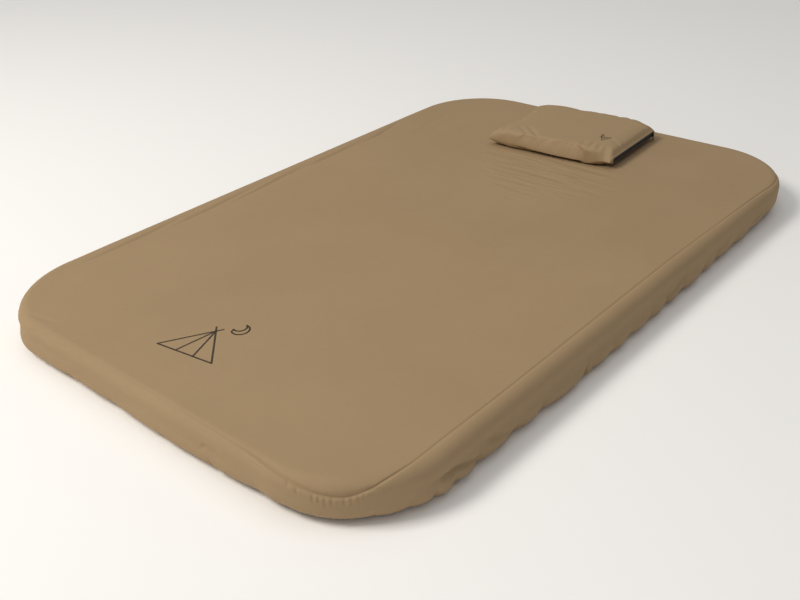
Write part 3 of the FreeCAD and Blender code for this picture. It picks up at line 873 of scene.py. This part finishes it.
    def surface(
        self, along: np.ndarray, down: np.ndarray, out: float | np.ndarray = 0.0, fine: bool = True
    ) -> np.ndarray:
        """Places points on the dressed surface.

        Args:
            along: distances along the outline.
            down: distances down the section.
            out: a further outward distance, for all of them or for each.
            fine: whether the seam groove and the small gathers count.

        Returns:
            The points, one row each.
        """
        base, outward = self.outline.spine(along)
        inset, height, tilt = self.profile.place(down)
        plan = base + outward * (self.outline.corner - inset)[:, None]
        points = np.column_stack([plan, height])
        sideways, upward = outward * np.sin(tilt)[:, None], np.cos(tilt)
        level = np.column_stack([sideways, np.where(upward < 0, self.floor_push * upward, upward)])
        points = points + level * self.relief(along, down, points, fine)[:, None]
        points += np.column_stack([sideways, upward]) * (np.zeros(len(along)) + out)[:, None]
        low = np.minimum(points[:, 2] / self.floor_ease, 1.0)
        points[:, 2] = np.where(low < 1.0, self.floor_ease * np.exp(low - 1.0), points[:, 2])
        return points

    def top_panel(self) -> Object:
        """Makes the top panel, from its seam in to the middle.

        Returns:
            The panel's piece.
        """
        near = np.array(self.seam_rows_mm) * MM
        edge = np.concatenate([near, np.arange(0.0155, 0.100, 0.0038), np.arange(0.105, 0.145, 0.008)])
        inner = 22
        rows = len(edge) - 1 + inner
        mesh, column, row = cloth_grid("sheet_top_cloth", self.steps, rows)
        along = self.outline.stations(self.steps)[column]
        rim = np.minimum(row, len(edge) - 1)
        down = self.seam(along) - edge[rim]
        plain = self.surface(along, down)
        middle = np.clip((row - (len(edge) - 1)) / inner, 0.0, 1.0)
        goal = np.zeros_like(plain)
        limit = self.outline.half_y - self.outline.half_x
        goal[:, 1] = np.clip(plain[:, 1] * 0.55, -limit, limit)
        goal[:, 2] = self.profile.top
        points = plain * (1 - middle)[:, None] + goal * middle[:, None]
        inside = middle > 0
        deep = np.full(inside.sum(), -0.2)
        points[inside, 2] = self.profile.top + self.relief(along[inside], deep, points[inside])
        write_points(mesh, points)
        write_uv(mesh, points[:, 0], points[:, 1])
        weld(mesh, (column == 0) | (column == self.steps) | (row == rows), CLOSE)
        piece = new_piece("sheet_top_cloth", mesh, "sheet")
        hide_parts("sheet_top_panel")
        SHEETING.dress(piece)
        return piece

    def side_band(self) -> None:
        """Makes the side band, from the hem up to the seam."""
        near = np.array(self.seam_rows_mm) * MM
        last = len(near) - 1
        rows = 46
        mesh, column, row = cloth_grid("sheet_side_cloth", self.steps, rows)
        along = self.outline.stations(self.steps)[column]
        seam = self.seam(along)
        step = rows - row
        beyond = near[-1] + (self.hem_start - seam - near[-1]) * (step - last) / (rows - last)
        down = seam + np.where(step < last, near[np.minimum(step, last)], beyond)
        write_points(mesh, self.surface(along, down))
        write_uv(mesh, along, -down)
        weld(mesh, (column == 0) | (column == self.steps), CLOSE)
        piece = new_piece("sheet_side_cloth", mesh, "sheet")
        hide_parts("sheet_side_band")
        SHEETING.dress(piece)

    def loop_tube(self, name: str, height: float, thickness: float, centre: float, out: float) -> Mesh:
        """Makes a flattened tube that follows the hem all the way round.

        Args:
            name: the mesh's name.
            height: its size down the section.
            thickness: its size through the cloth.
            centre: how far down the section its middle is.
            out: how far out from the surface its middle is.

        Returns:
            The closed mesh.
        """
        sides = 12
        mesh, column, row = cloth_grid(name, self.steps, sides)
        along = self.outline.stations(self.steps)[column]
        turn = 2 * math.pi * row / sides
        lift = np.sin(turn) * thickness / 2
        down = centre - np.cos(turn) * height / 2
        base = self.surface(along, down)
        raised = self.surface(along, down, out=MM)
        face = (raised - base) / MM
        write_points(mesh, base + face * (lift + out)[:, None])
        write_uv(mesh, along, row * (height / sides))
        weld(mesh, (column == 0) | (column == self.steps) | (row == 0) | (row == sides), CLOSE / 10)
        return mesh

    def hem(self) -> None:
        """Makes the turned-under hem and the elastic inside it."""
        centre = self.hem_start + self.hem_height / 2 - 0.0012
        inwards = -0.0002
        casing = self.loop_tube("sheet_hem_cloth", self.hem_height, self.hem_thickness, centre, inwards)
        hem = new_piece("sheet_hem_cloth", casing, "sheet")
        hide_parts("sheet_hem_casing")
        SHEETING.dress(hem)
        height, thickness = self.hem_height - 0.003, self.hem_thickness - 0.0014
        band = self.loop_tube("hem_elastic_band", height, thickness, centre, inwards)
        elastic = new_piece("hem_elastic_band", band, "sheet")
        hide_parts("hem_elastic")
        ELASTIC.dress(elastic)

    def build(self) -> Object:
        """Builds every piece of the sheet.

        Returns:
            The top panel, which carries the printed mark.
        """
        panel = self.top_panel()
        self.side_band()
        self.hem()
        return panel


@dataclass
class PadBody:
    """The self-inflating pad under the sheet: a foam block in a coated skin, welded along two lines."""

    sheet: FittedSheet
    steps: int = 1000
    skin_gap: float = 0.0024
    foam_gap: float = 0.0075
    top_weld: float = 0.034
    low_weld: float = 0.116
    under_end: float = 0.190
    over_end: float = -0.090
    base_gap: float = 0.0010
    weld_depth: float = 0.0014
    weld_width: float = 0.004
    fill: float = 0.9
    inner: int = 12
    valve_places: tuple[tuple[float, float], ...] = ((-0.455, -0.830), (0.455, -0.830))
    hole: float = 0.0345
    # Edges longer than this are divided round a hole.
    coarse: float = 0.004
    pocket: tuple[float, float] = (0.0425, 0.0275)

    def wrap(self, name: str, downs: Sequence[float], gap: float, under: bool, over: bool) -> Mesh:
        """Wraps one layer round the pad, as a ring, or closed over its top or underside.

        Args:
            name: the mesh's name.
            downs: distances down the section of its rows, from the lowest row to the highest.
            gap: how far inside the sheet's plain surface it lies.
            under: whether rows before the first close it over the underside.
            over: whether rows after the last close it over the top.

        Returns:
            The layer's mesh.
        """
        before, after = (self.inner if under else 0), (self.inner if over else 0)
        rows = before + len(downs) - 1 + after
        mesh, column, row = cloth_grid(name, self.steps, rows)
        along = self.sheet.outline.stations(self.steps)[column]
        down = np.array(downs)[np.clip(row - before, 0, len(downs) - 1)]
        lines = (self.top_weld, self.low_weld)
        seams = sum(np.exp(-(((down - line) / self.weld_width) ** 2)) for line in lines)
        points = self.sheet.surface(along, down, -gap - self.weld_depth * seams, fine=False)
        start = np.clip((before - row) / max(before, 1), 0.0, 1.0)
        end = np.clip((row - before - len(downs) + 1) / max(after, 1), 0.0, 1.0)
        share = np.maximum(start, end)[:, None]
        limit = self.sheet.outline.half_y - self.sheet.outline.half_x
        goal = np.column_stack([0 * along, np.clip(points[:, 1] * 0.55, -limit, limit), points[:, 2]])
        points = points * (1 - share) + goal * share
        roof = end > 0
        deep = np.full(int(roof.sum()), self.over_end)
        raised = self.sheet.relief(along[roof], deep, points[roof], False)
        points[roof, 2] = self.sheet.profile.top - gap + raised
        flat_map = under or over
        write_points(mesh, points)
        write_uv(mesh, points[:, 0] if flat_map else along, points[:, 1] if flat_map else -down)
        closing = (column == 0) | (column == self.steps)
        weld(mesh, closing | ((row == 0) & under) | ((row == rows) & over), CLOSE)
        return mesh

    def open_holes(self, mesh: Mesh) -> None:
        """Opens the two round holes for the valves in the base skin.

        Args:
            mesh: the base skin.
        """
        maker = bmesh.new()
        maker.from_mesh(mesh)
        for x, y in self.valve_places:
            middle = Vector((x, y, 0.0))
            for _ in range(2):
                around = {v for v in maker.verts if (v.co - middle).length < self.hole * 1.7}
                near = [
                    e for e in maker.edges
                    if not around.isdisjoint(e.verts) and e.calc_length() > self.coarse
                ]
                bmesh.ops.subdivide_edges(maker, edges=near, cuts=1, use_grid_fill=True)
            inside = [v for v in maker.verts if (v.co - middle).length < self.hole]
            bmesh.ops.delete(maker, geom=inside, context="VERTS")
            for vert in maker.verts:
                away = vert.co - middle
                if vert.is_boundary and away.length < self.hole * 1.6:
                    vert.co = middle + away.normalized() * self.hole
        maker.to_mesh(mesh)
        maker.free()

    def cut_pockets(self, foam: Object) -> None:
        """Cuts the two valve pockets into the underside of the foam.

        Args:
            foam: the foam block.
        """
        radius, depth = self.pocket
        maker = bmesh.new()
        for x, y in self.valve_places:
            bmesh.ops.create_cone(
                maker, cap_ends=True, segments=64, radius1=radius, radius2=radius, depth=2 * depth,
                matrix=Matrix.Translation((x, y, 0.0)),
            )
        cutter = put_in_scene("pocket_cutter", finished_mesh(maker, "pocket_cutter"))
        cut = foam.modifiers.new("pockets", "BOOLEAN")
        cut.object = cutter
        cut.operation = "DIFFERENCE"
        cut.solver = "EXACT"
        done = bpy.data.meshes.new_from_object(foam.evaluated_get(bpy.context.evaluated_depsgraph_get()))
        foam.modifiers.remove(cut)
        foam.data = done
        bpy.data.objects.remove(cutter)

    def build(self) -> None:
        """Builds the three skins and the foam block inside them."""
        over = [self.top_weld - d for d in (0, 0.002, 0.004, 0.007, *np.arange(0.011, 0.100, 0.005))]
        over.append(self.over_end)
        side = list(np.linspace(self.low_weld, self.top_weld, 30))
        under = [self.under_end, 0.170, 0.152, 0.144, 0.136, 0.129, 0.123, 0.119, self.low_weld]
        whole = under[:-1] + side[:-1:3] + over
        top = self.wrap("pad_top_cloth", over, self.skin_gap, False, True)
        wall = self.wrap("pad_side_cloth", side, self.skin_gap, False, False)
        base = self.wrap("pad_base_cloth", under, self.base_gap, True, False)
        foam = self.wrap("pad_foam_block", whole, self.foam_gap, True, True)
        self.open_holes(base)
        layers = (
            (top, "pad_top_skin", "pad_skin", PAD_SKIN),
            (wall, "pad_side_wall", "pad_skin", PAD_SKIN),
            (base, "pad_bottom_skin", "pad_base_skin", GRIP_SKIN),
            (foam, "foam_core", "open_cell_foam", FOAM),
        )
        for mesh, node, slot, finish in layers:
            piece = new_piece(mesh.name, mesh, "pad")
            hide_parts(node)
            finish.dress(piece)
            if mesh is foam:
                self.cut_pockets(piece)


class Valves:
    """The two valves in the pad's underside, kept as the CAD nodes that they are."""

    plastic: tuple[str, ...] = (
        "inflate_valve_base", "inflate_flap_guide", "inflate_valve_cap",
        "deflate_valve_base", "deflate_valve_grille", "deflate_valve_cap",
    )
    rubber: tuple[str, ...] = ("inflate_valve_flap", "inflate_cap_seal", "deflate_cap_seal")

    def build(self) -> None:
        """Dresses the valve bodies and caps, and their silicone parts."""
        ABS.repaint(*self.plastic)
        SILICONE.repaint(*self.rubber)
        log.info("valves: %d nodes dressed", len(self.plastic) + len(self.rubber))


@dataclass
class PillowPouch:
    """The pillow pouch: two panels sewn round three sides, a zipped end, and a fibre fill."""

    length: float = 0.430
    width: float = 0.320
    height: float = 0.046
    crown: float = 0.0360
    firmness: float = 0.75
    centre: tuple[float, float] = (-0.019, 0.757)
    base: float = 0.1044
    turn: float = 3.0
    lean: float = 0.030
    slit: float = 0.009
    zip_half: float = 0.1475
    near_bow: float = 0.004
    far_bow: float = 0.013
    seam_drop: float = 0.010
    ear: float = 0.007
    columns: int = 92
    rows: int = 68
    ease: float = 1.035
    # How far the fibre lies inside the cloth, and how full the pouch is.
    inside: float = 0.0016
    fill: float = 0.7
    # The rolled seam: how far in it lies, how wide and how deep it is.
    roll: tuple[float, float, float] = (0.0065, 0.0026, 0.0006)
    ear_reach: float = 0.035
    settle_round: float = 0.005
    # Folds that the sewn edges pull into the upper panel, on the pouch's own centre.
    folds: tuple[Crease, ...] = (
        Crease(((-0.118, -0.082, 0.0), (-0.078, -0.118, 0.0), (-0.040, -0.154, 0.0)), 0.0034, 0.0080),
        Crease(((-0.150, -0.090, 0.0), (-0.112, -0.122, 0.0), (-0.080, -0.154, 0.0)), 0.0026, 0.0075),
        Crease(((-0.199, -0.112, 0.0), (-0.190, -0.153, 0.0)), 0.0026, 0.0065),
        Crease(((-0.181, -0.108, 0.0), (-0.168, -0.154, 0.0)), 0.0028, 0.0065),
        Crease(((0.098, -0.100, 0.0), (0.108, -0.154, 0.0)), 0.0028, 0.0065),
        Crease(((0.128, -0.098, 0.0), (0.136, -0.154, 0.0)), 0.0032, 0.0065),
        Crease(((0.154, -0.106, 0.0), (0.163, -0.154, 0.0)), 0.0030, 0.0065),
        Crease(((0.176, -0.112, 0.0), (0.188, -0.152, 0.0)), 0.0026, 0.0060),
        Crease(((0.150, -0.050, 0.0), (0.185, -0.070, 0.0), (0.210, -0.080, 0.0)), 0.0022, 0.0090),
        Crease(((0.150, 0.090, 0.0), (0.185, 0.105, 0.0), (0.208, 0.130, 0.0)), 0.0026, 0.0090),
        Crease(((-0.150, 0.100, 0.0), (-0.175, 0.128, 0.0), (-0.195, 0.152, 0.0)), 0.0026, 0.0080),
        Crease(((-0.160, -0.030, 0.0), (-0.208, -0.045, 0.0)), 0.0024, 0.0080),
        Crease(((-0.160, 0.045, 0.0), (-0.208, 0.060, 0.0)), 0.0024, 0.0080),
    )
    pressure: float = 5.0
    move_limit: float = 0.030
    frames: int = 22

    def blank(self) -> tuple[Object, np.ndarray]:
        """Makes the sewn but empty pouch, flat, with the zipped end held open.

        Returns:
            The pouch, centred on the origin, and the share of hold of each vertex.
        """
        maker = bmesh.new()
        maker.loops.layers.uv.new("UVMap")
        part = maker.faces.layers.int.new("part")
        bmesh.ops.create_grid(maker, x_segments=self.columns, y_segments=self.rows, size=1.0, calc_uvs=True)
        made = bmesh.ops.extrude_face_region(maker, geom=list(maker.faces), use_keep_orig=True)
        raised = [item for item in made["geom"] if isinstance(item, bmesh.types.BMVert)]
        bmesh.ops.translate(maker, verts=raised, vec=(0.0, 0.0, 2.0))
        bmesh.ops.translate(maker, verts=list(maker.verts), vec=(0.0, 0.0, -1.0))
        bmesh.ops.recalc_face_normals(maker, faces=list(maker.faces))
        for face in maker.faces:
            middle = face.calc_center_median()
            kind = PouchPart.SEAM
            if abs(middle.z) > 0.5:
                kind = PouchPart.UPPER if middle.z > 0 else PouchPart.LOWER
            elif middle.x > 0.999 and abs(middle.y) * self.width / 2 * self.ease < self.zip_half:
                kind = PouchPart.MOUTH
            face[part] = kind.value
        mesh = finished_mesh(maker, "pouch_blank")
        points = read_points(mesh)
        across, along, side = points.T
        to_zip = eased(across, 0.86, 1.0) * eased(-np.abs(along), -0.99, -0.90)
        rim = np.maximum(np.abs(across), np.abs(along))
        start = 0.0012 + 0.010 * (1 - rim**2) ** 0.6
        thick = start * (1 - to_zip) + self.slit * to_zip
        half_long, half_wide = self.length / 2 * self.ease, self.width / 2 * self.ease
        bowed = 1 - 0.010 * (1 - along**2) * (across < 0)
        x = across * half_long * bowed
        held = (across > 0.999) & (np.abs(along) * half_wide < self.zip_half)
        x = np.where(across > 0, across * (self.length / 2 - 0.0005), x)
        y = along * half_wide
        write_points(mesh, np.column_stack([x, y, side * thick]))
        write_uv(mesh, x, y)
        pouch = put_in_scene("pouch_blank", mesh)
        return pouch, held.astype(float)

    def inflate(self, pouch: Object, held: np.ndarray) -> None:
        """Fills the pouch by a cloth simulation with inner pressure, and applies it.

        Args:
            pouch: the empty pouch.
            held: the share of hold of each vertex.
        """
        group = pouch.vertex_groups.new(name="held")
        group.add([int(i) for i in np.flatnonzero(held > 0.5)], 1.0, "REPLACE")
        cloth = pouch.modifiers.new("fill", "CLOTH")
        settings = cloth.settings
        settings.quality = 6
        settings.mass = 0.25
        settings.tension_stiffness = settings.compression_stiffness = 25.0
        settings.shear_stiffness = 12.0
        settings.bending_stiffness = 0.4
        settings.use_pressure = True
        settings.uniform_pressure_force = self.pressure
        settings.vertex_group_mass = group.name
        settings.effector_weights.gravity = 0.0
        cloth.collision_settings.use_collision = False
        cloth.collision_settings.use_self_collision = False
        scene = bpy.context.scene
        for step in range(1, self.frames + 1):
            scene.frame_set(step)
        filled = pouch.evaluated_get(bpy.context.evaluated_depsgraph_get())
        after = read_points(filled.data)
        before = read_points(pouch.data)
        pouch.modifiers.remove(cloth)
        pouch.vertex_groups.remove(group)
        scene.frame_set(1)
        moved = after - before
        far = np.linalg.norm(moved, axis=1, keepdims=True)
        write_points(pouch.data, before + moved * np.minimum(1.0, self.move_limit / np.maximum(far, 1e-9)))

    def soften(self, mesh: Mesh) -> None:
        """Evens out the cloth beside the sewn seams, where the filling rounds it.

        Args:
            mesh: the filled pouch.
        """
        maker = bmesh.new()
        maker.from_mesh(mesh)
        rim = [vert for vert in maker.verts if abs(vert.co.z) < 0.014 and vert.co.x < 0.196]
        for _ in range(5):
            bmesh.ops.smooth_vert(
                maker, verts=rim, factor=0.5, use_axis_x=True, use_axis_y=True, use_axis_z=True
            )
        maker.to_mesh(mesh)
        maker.free()

    def squared(self, x: np.ndarray, y: np.ndarray) -> np.ndarray:
        """Lets the long sides out again where the filling drew them in.

        Args:
            x: places along the pouch.
            y: places across it.

        Returns:
            The new places across it.
        """
        half_long, half_wide = self.length / 2, self.width / 2
        marks = np.linspace(-half_long, half_long, 26)
        bins = np.clip(np.digitize(x, marks), 1, 25)
        reach = [np.abs(y[bins == i]).max() for i in range(1, 26)]
        wide = np.interp(x, (marks[1:] + marks[:-1]) / 2, reach)
        bow = np.where(y > 0, self.far_bow, self.near_bow) * (1 - (x / half_long) ** 2)
        return y * (1 + ((half_wide + bow) / wide - 1) * (1 - eased(x, 0.15, 0.205)))

    def settle(self, mesh: Mesh) -> None:
        """Lays the filled pouch down: crowned above, flat where it rests, with puckers along its seams.

        Args:
            mesh: the pouch's mesh, centred on the origin, which is moved to its place.
        """
        self.soften(mesh)
        x, y, z = read_points(mesh).T
        half, half_long, half_wide = self.height / 2, self.length / 2, self.width / 2
        x = np.where(x < 0, x * half_long / -x.min(), x)
        y = self.squared(x, y * half_wide / np.abs(y).max())
        room = np.where(z > 0, self.crown, half * 1.04)
        firm = 1 + self.firmness * (1 - eased(x, 0.198, 0.213)) * (z > 0)
        z = room * np.tanh(firm * z / room)
        to_seam = np.minimum(half_wide - np.abs(y), half_long + x)
        flat = np.column_stack([x, y, np.zeros_like(x)])
        pulled = sum(fold.relief(flat) for fold in self.folds)
        z = z + np.sign(z) * pulled * eased(np.abs(z), 0.001, 0.006)
        place, width, depth = self.roll
        roll = np.exp(-(((to_seam - place) / width) ** 2))
        z = z - np.sign(z) * depth * roll * eased(np.abs(z), 0.0008, 0.003)
        corner = np.exp(-((x + half_long) ** 2 + (np.abs(y) - half_wide) ** 2) / self.ear_reach**2)
        x = x - self.ear * corner
        drop = self.seam_drop * eased(x, -0.20, 0.02) * (1 - eased(x, 0.12, 0.20))
        z = z - drop * np.clip(1 - np.abs(z) / 0.020, 0.0, 1.0)
        soft = self.settle_round
        low = -half + soft
        z = np.where(z < low, low - soft * (1 - np.exp(-(low - z) / soft)), z)
        y = y + self.lean * (x - half_long)
        angle = math.radians(self.turn)
        world_x = self.centre[0] + x * math.cos(angle) - y * math.sin(angle)
        world_y = self.centre[1] + x * math.sin(angle) + y * math.cos(angle)
        write_points(mesh, np.column_stack([world_x, world_y, z + self.base + half]))

    def area(self, whole: Mesh, name: str, parts: Sequence[PouchPart], shrink: float = 0.0) -> Mesh:
        """Copies some areas of the filled pouch.

        Args:
            whole: the filled pouch.
            name: the new mesh's name.
            parts: the areas to keep.
            shrink: how far to draw the copy inwards.

        Returns:
            The copy.
        """
        maker = bmesh.new()
        maker.from_mesh(whole)
        layer = maker.faces.layers.int["part"]
        maker.normal_update()
        inward = [vert.co - vert.normal * shrink for vert in maker.verts]
        for vert, place in zip(maker.verts, inward):
            vert.co = place
        kept = {part.value for part in parts}
        extra = [face for face in maker.faces if face[layer] not in kept]
        bmesh.ops.delete(maker, geom=extra, context="FACES")
        return finished_mesh(maker, name)

    def build(self) -> Object:
        """Builds the panels and the fill.

        Returns:
            The upper panel, which carries the small mark.
        """
        blank, held = self.blank()
        self.inflate(blank, held)
        self.settle(blank.data)
        upper, lower = (PouchPart.UPPER, PouchPart.SEAM), (PouchPart.LOWER,)
        areas = (
            ("pouch_upper_cloth", "pouch_top_panel", "pouch_fabric", POUCH_CLOTH, upper, 0.0),
            ("pouch_lower_cloth", "pouch_bottom_panel", "pouch_fabric", POUCH_CLOTH, lower, 0.0),
            ("pouch_fibre_fill", "pouch_fill", "pouch_wadding", WADDING, tuple(PouchPart), self.inside),
        )
        made = []
        for name, node, slot, finish, parts, shrink in areas:
            piece = new_piece(name, self.area(blank.data, name, parts, shrink), "pouch")
            smooth = piece.modifiers.new("smooth", "SUBSURF")
            smooth.levels = smooth.render_levels = 1
            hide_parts(node)
            finish.dress(piece)
            made.append(piece)
        bpy.data.objects.remove(blank)
        return made[0]


class ZipFittings:
    """The zip across the pouch's end, kept as the CAD nodes that it is made of."""

    def build(self) -> None:
        """Dresses the tapes, the coil, the stops, the slider and the pull."""
        ZIP_TAPE.repaint("zip_tape_lower", "zip_tape_upper")
        NYLON.repaint("zip_teeth_lower", "zip_teeth_upper", "zip_end_stops")
        PAINTED_ZINC.repaint("zip_slider", "zip_pull")


@dataclass
class LineMark:
    """A small printed mark in thin lines: a ridge tent under a crescent moon."""

    name: str
    body: str
    cloth: Object
    centre: tuple[float, float]
    height: float
    turn: float
    line: float
    ink_lift: float = 0.00035
    strokes: tuple[tuple[tuple[float, float], ...], ...] = (
        ((-0.50, -0.42), (0.0, 0.22), (0.50, -0.42), (-0.50, -0.42)),
        ((0.0, 0.22), (-0.16, -0.42)),
        ((0.0, 0.22), (0.16, -0.42)),
        ((-0.07, 0.31), (0.0, 0.22), (0.07, 0.31)),
    )

    def outline_points(self, stroke: Sequence[tuple[float, float]]) -> list[tuple[float, float]]:
        """Divides a stroke into short steps, so that it can follow the cloth.

        Args:
            stroke: the corners of the stroke.

        Returns:
            Points along it, a few millimetres apart at full size.
        """
        made: list[tuple[float, float]] = []
        for (x0, y0), (x1, y1) in zip(stroke, stroke[1:]):
            count = max(2, int(math.hypot(x1 - x0, y1 - y0) / 0.06))
            made += [(x0 + (x1 - x0) * i / count, y0 + (y1 - y0) * i / count) for i in range(count)]
        return [*made, stroke[-1]]

    def moon(self) -> list[tuple[float, float]]:
        """The crescent's edge: an outer arc and a shallower inner one."""
        outer = [(0.28 + 0.13 * math.cos(a), 0.42 + 0.13 * math.sin(a)) for a in np.linspace(-2.2, 1.2, 20)]
        inner = [(0.235 + 0.10 * math.cos(a), 0.465 + 0.10 * math.sin(a)) for a in np.linspace(1.1, -2.1, 16)]
        return outer + inner + [outer[0]]

    def build(self) -> None:
        """Prints the mark on its cloth."""
        tree = BVHTree.FromObject(self.cloth, bpy.context.evaluated_depsgraph_get())
        maker = bmesh.new()
        for stroke in [*(self.outline_points(s) for s in self.strokes), self.moon()]:
            points = np.array(stroke) * self.height
            for start, end in zip(points, points[1:]):
                step = end - start
                long = float(np.hypot(*step))
                angle = math.atan2(step[1], step[0])
                place = Matrix.Translation((*((start + end) / 2), 0.0)) @ Matrix.Rotation(angle, 4, "Z")
                size = Matrix.Diagonal((long / 2 + self.line * 0.25, self.line / 2, 1.0, 1.0))
                bmesh.ops.create_grid(maker, x_segments=2, y_segments=1, size=1.0, matrix=place @ size)
        turn = Matrix.Translation((*self.centre, 0.0)) @ Matrix.Rotation(math.radians(self.turn), 4, "Z")
        bmesh.ops.transform(maker, matrix=turn, verts=list(maker.verts))
        for vert in maker.verts:
            hit, normal, _, _ = tree.ray_cast(Vector((vert.co.x, vert.co.y, 1.0)), Vector((0, 0, -1)))
            vert.co = hit + normal * self.ink_lift
        mesh = finished_mesh(maker, self.name)
        INK.dress(new_piece(self.name, mesh, self.body))


@dataclass
class Studio:
    """A pale floor, soft light from the upper left and in front, and the camera."""

    azimuth: float = 42.1
    elevation: float = 30.01
    roll: float = -2.62
    target: tuple[float, float, float] = (0.1435, -0.3122, 0.05)
    distance: float = 2.4181
    lens: float = 43.25
    floor_half: float = 30.0
    floor_drop: float = 0.0004
    # The surround's strength as a light, and as it is seen behind the floor.
    sky_strengths: tuple[float, float] = (0.27, 0.60)

    def camera(self) -> None:
        """Places the camera and makes it the scene's own."""
        data = bpy.data.cameras.new("camera")
        data.lens = self.lens
        data.sensor_width = 36.0
        data.clip_end = 50.0
        data.dof.use_dof = False
        camera = put_in_scene("camera", data)
        turn, rise = math.radians(self.azimuth), math.radians(self.elevation)
        back = Vector((math.sin(turn) * math.cos(rise), -math.cos(turn) * math.cos(rise), math.sin(rise)))
        look = back.to_track_quat("Z", "Y").to_matrix().to_4x4()
        eye = Matrix.Translation(Vector(self.target) + back * self.distance)
        camera.matrix_world = eye @ look @ Matrix.Rotation(math.radians(self.roll), 4, "Z")
        bpy.context.scene.camera = camera

    def sun(self, name: str, spread: float, power: float) -> None:
        """Places a wide soft light straight overhead, which lights the floor evenly.

        Args:
            name: the lamp's name.
            spread: how wide it looks from below, in degrees.
            power: its strength.
        """
        data = bpy.data.lights.new(name, "SUN")
        data.angle = math.radians(spread)
        data.energy = power
        put_in_scene(name, data)

    def light(self, name: str, place: Sequence[float], size: float, power: float, warmth: str) -> None:
        """Places a large square lamp that faces the pad.

        Args:
            name: the lamp's name.
            place: where it stands.
            size: its side.
            power: its power in watts.
            warmth: its colour.
        """
        data = bpy.data.lights.new(name, "AREA")
        data.size = size
        data.energy = power
        data.color = linear(warmth)[:3]
        lamp = put_in_scene(name, data)
        lamp.location = place
        lamp.rotation_mode = "QUATERNION"
        lamp.rotation_quaternion = Vector(place).to_track_quat("Z", "Y")

    def sky(self) -> None:
        """Makes the even surround: dim as a light, and pale where it is seen behind the floor."""
        world = bpy.data.worlds.new("studio")
        world.use_nodes = True
        tree = world.node_tree
        tree.nodes.clear()
        dim, pale = (
            add_node(tree, "ShaderNodeBackground", inputs={"Color": linear("#f4f4f5"), "Strength": strength})
            for strength in self.sky_strengths
        )
        seen = add_node(tree, "ShaderNodeLightPath").outputs["Is Camera Ray"]
        mixed = add_node(tree, "ShaderNodeMixShader", inputs={0: seen, 1: dim.outputs[0], 2: pale.outputs[0]})
        add_node(tree, "ShaderNodeOutputWorld", inputs={"Surface": mixed.outputs[0]})
        bpy.context.scene.world = world

    def build(self) -> None:
        """Builds the floor, the lamps, the sky and the camera."""
        maker = bmesh.new()
        bmesh.ops.create_grid(maker, x_segments=2, y_segments=2, size=self.floor_half)
        bmesh.ops.translate(maker, verts=list(maker.verts), vec=(0.0, 0.0, -self.floor_drop))
        floor = put_in_scene("floor", finished_mesh(maker, "floor"))
        FLOOR_PAINT.dress(floor)
        self.light("key", place=(-2.4, -3.6, 5.0), size=2.2, power=250.0, warmth="#fffaf2")
        self.light("front", place=(2.0, -3.8, 1.5), size=1.6, power=11.0, warmth="#ffffff")
        self.sun("overhead", spread=70.0, power=0.66)
        self.sky()
        bpy.context.scene.view_settings.view_transform = "Standard"
        self.camera()


def main() -> None:
    """Builds the studio and every sub-assembly in order."""
    Studio().build()
    sheet = FittedSheet()
    panel = sheet.build()
    PadBody(sheet).build()
    Valves().build()
    pouch = PillowPouch().build()
    ZipFittings().build()
    marks = (
        LineMark("sheet_mark", "sheet", panel, centre=(-0.036, -0.782), height=0.165, turn=8.0, line=0.0045),
        LineMark("pouch_mark", "pouch", pouch, centre=(0.118, 0.705), height=0.040, turn=70.0, line=0.0022),
    )
    for mark in marks:
        mark.build()


if __name__ == "__main__":
    main()
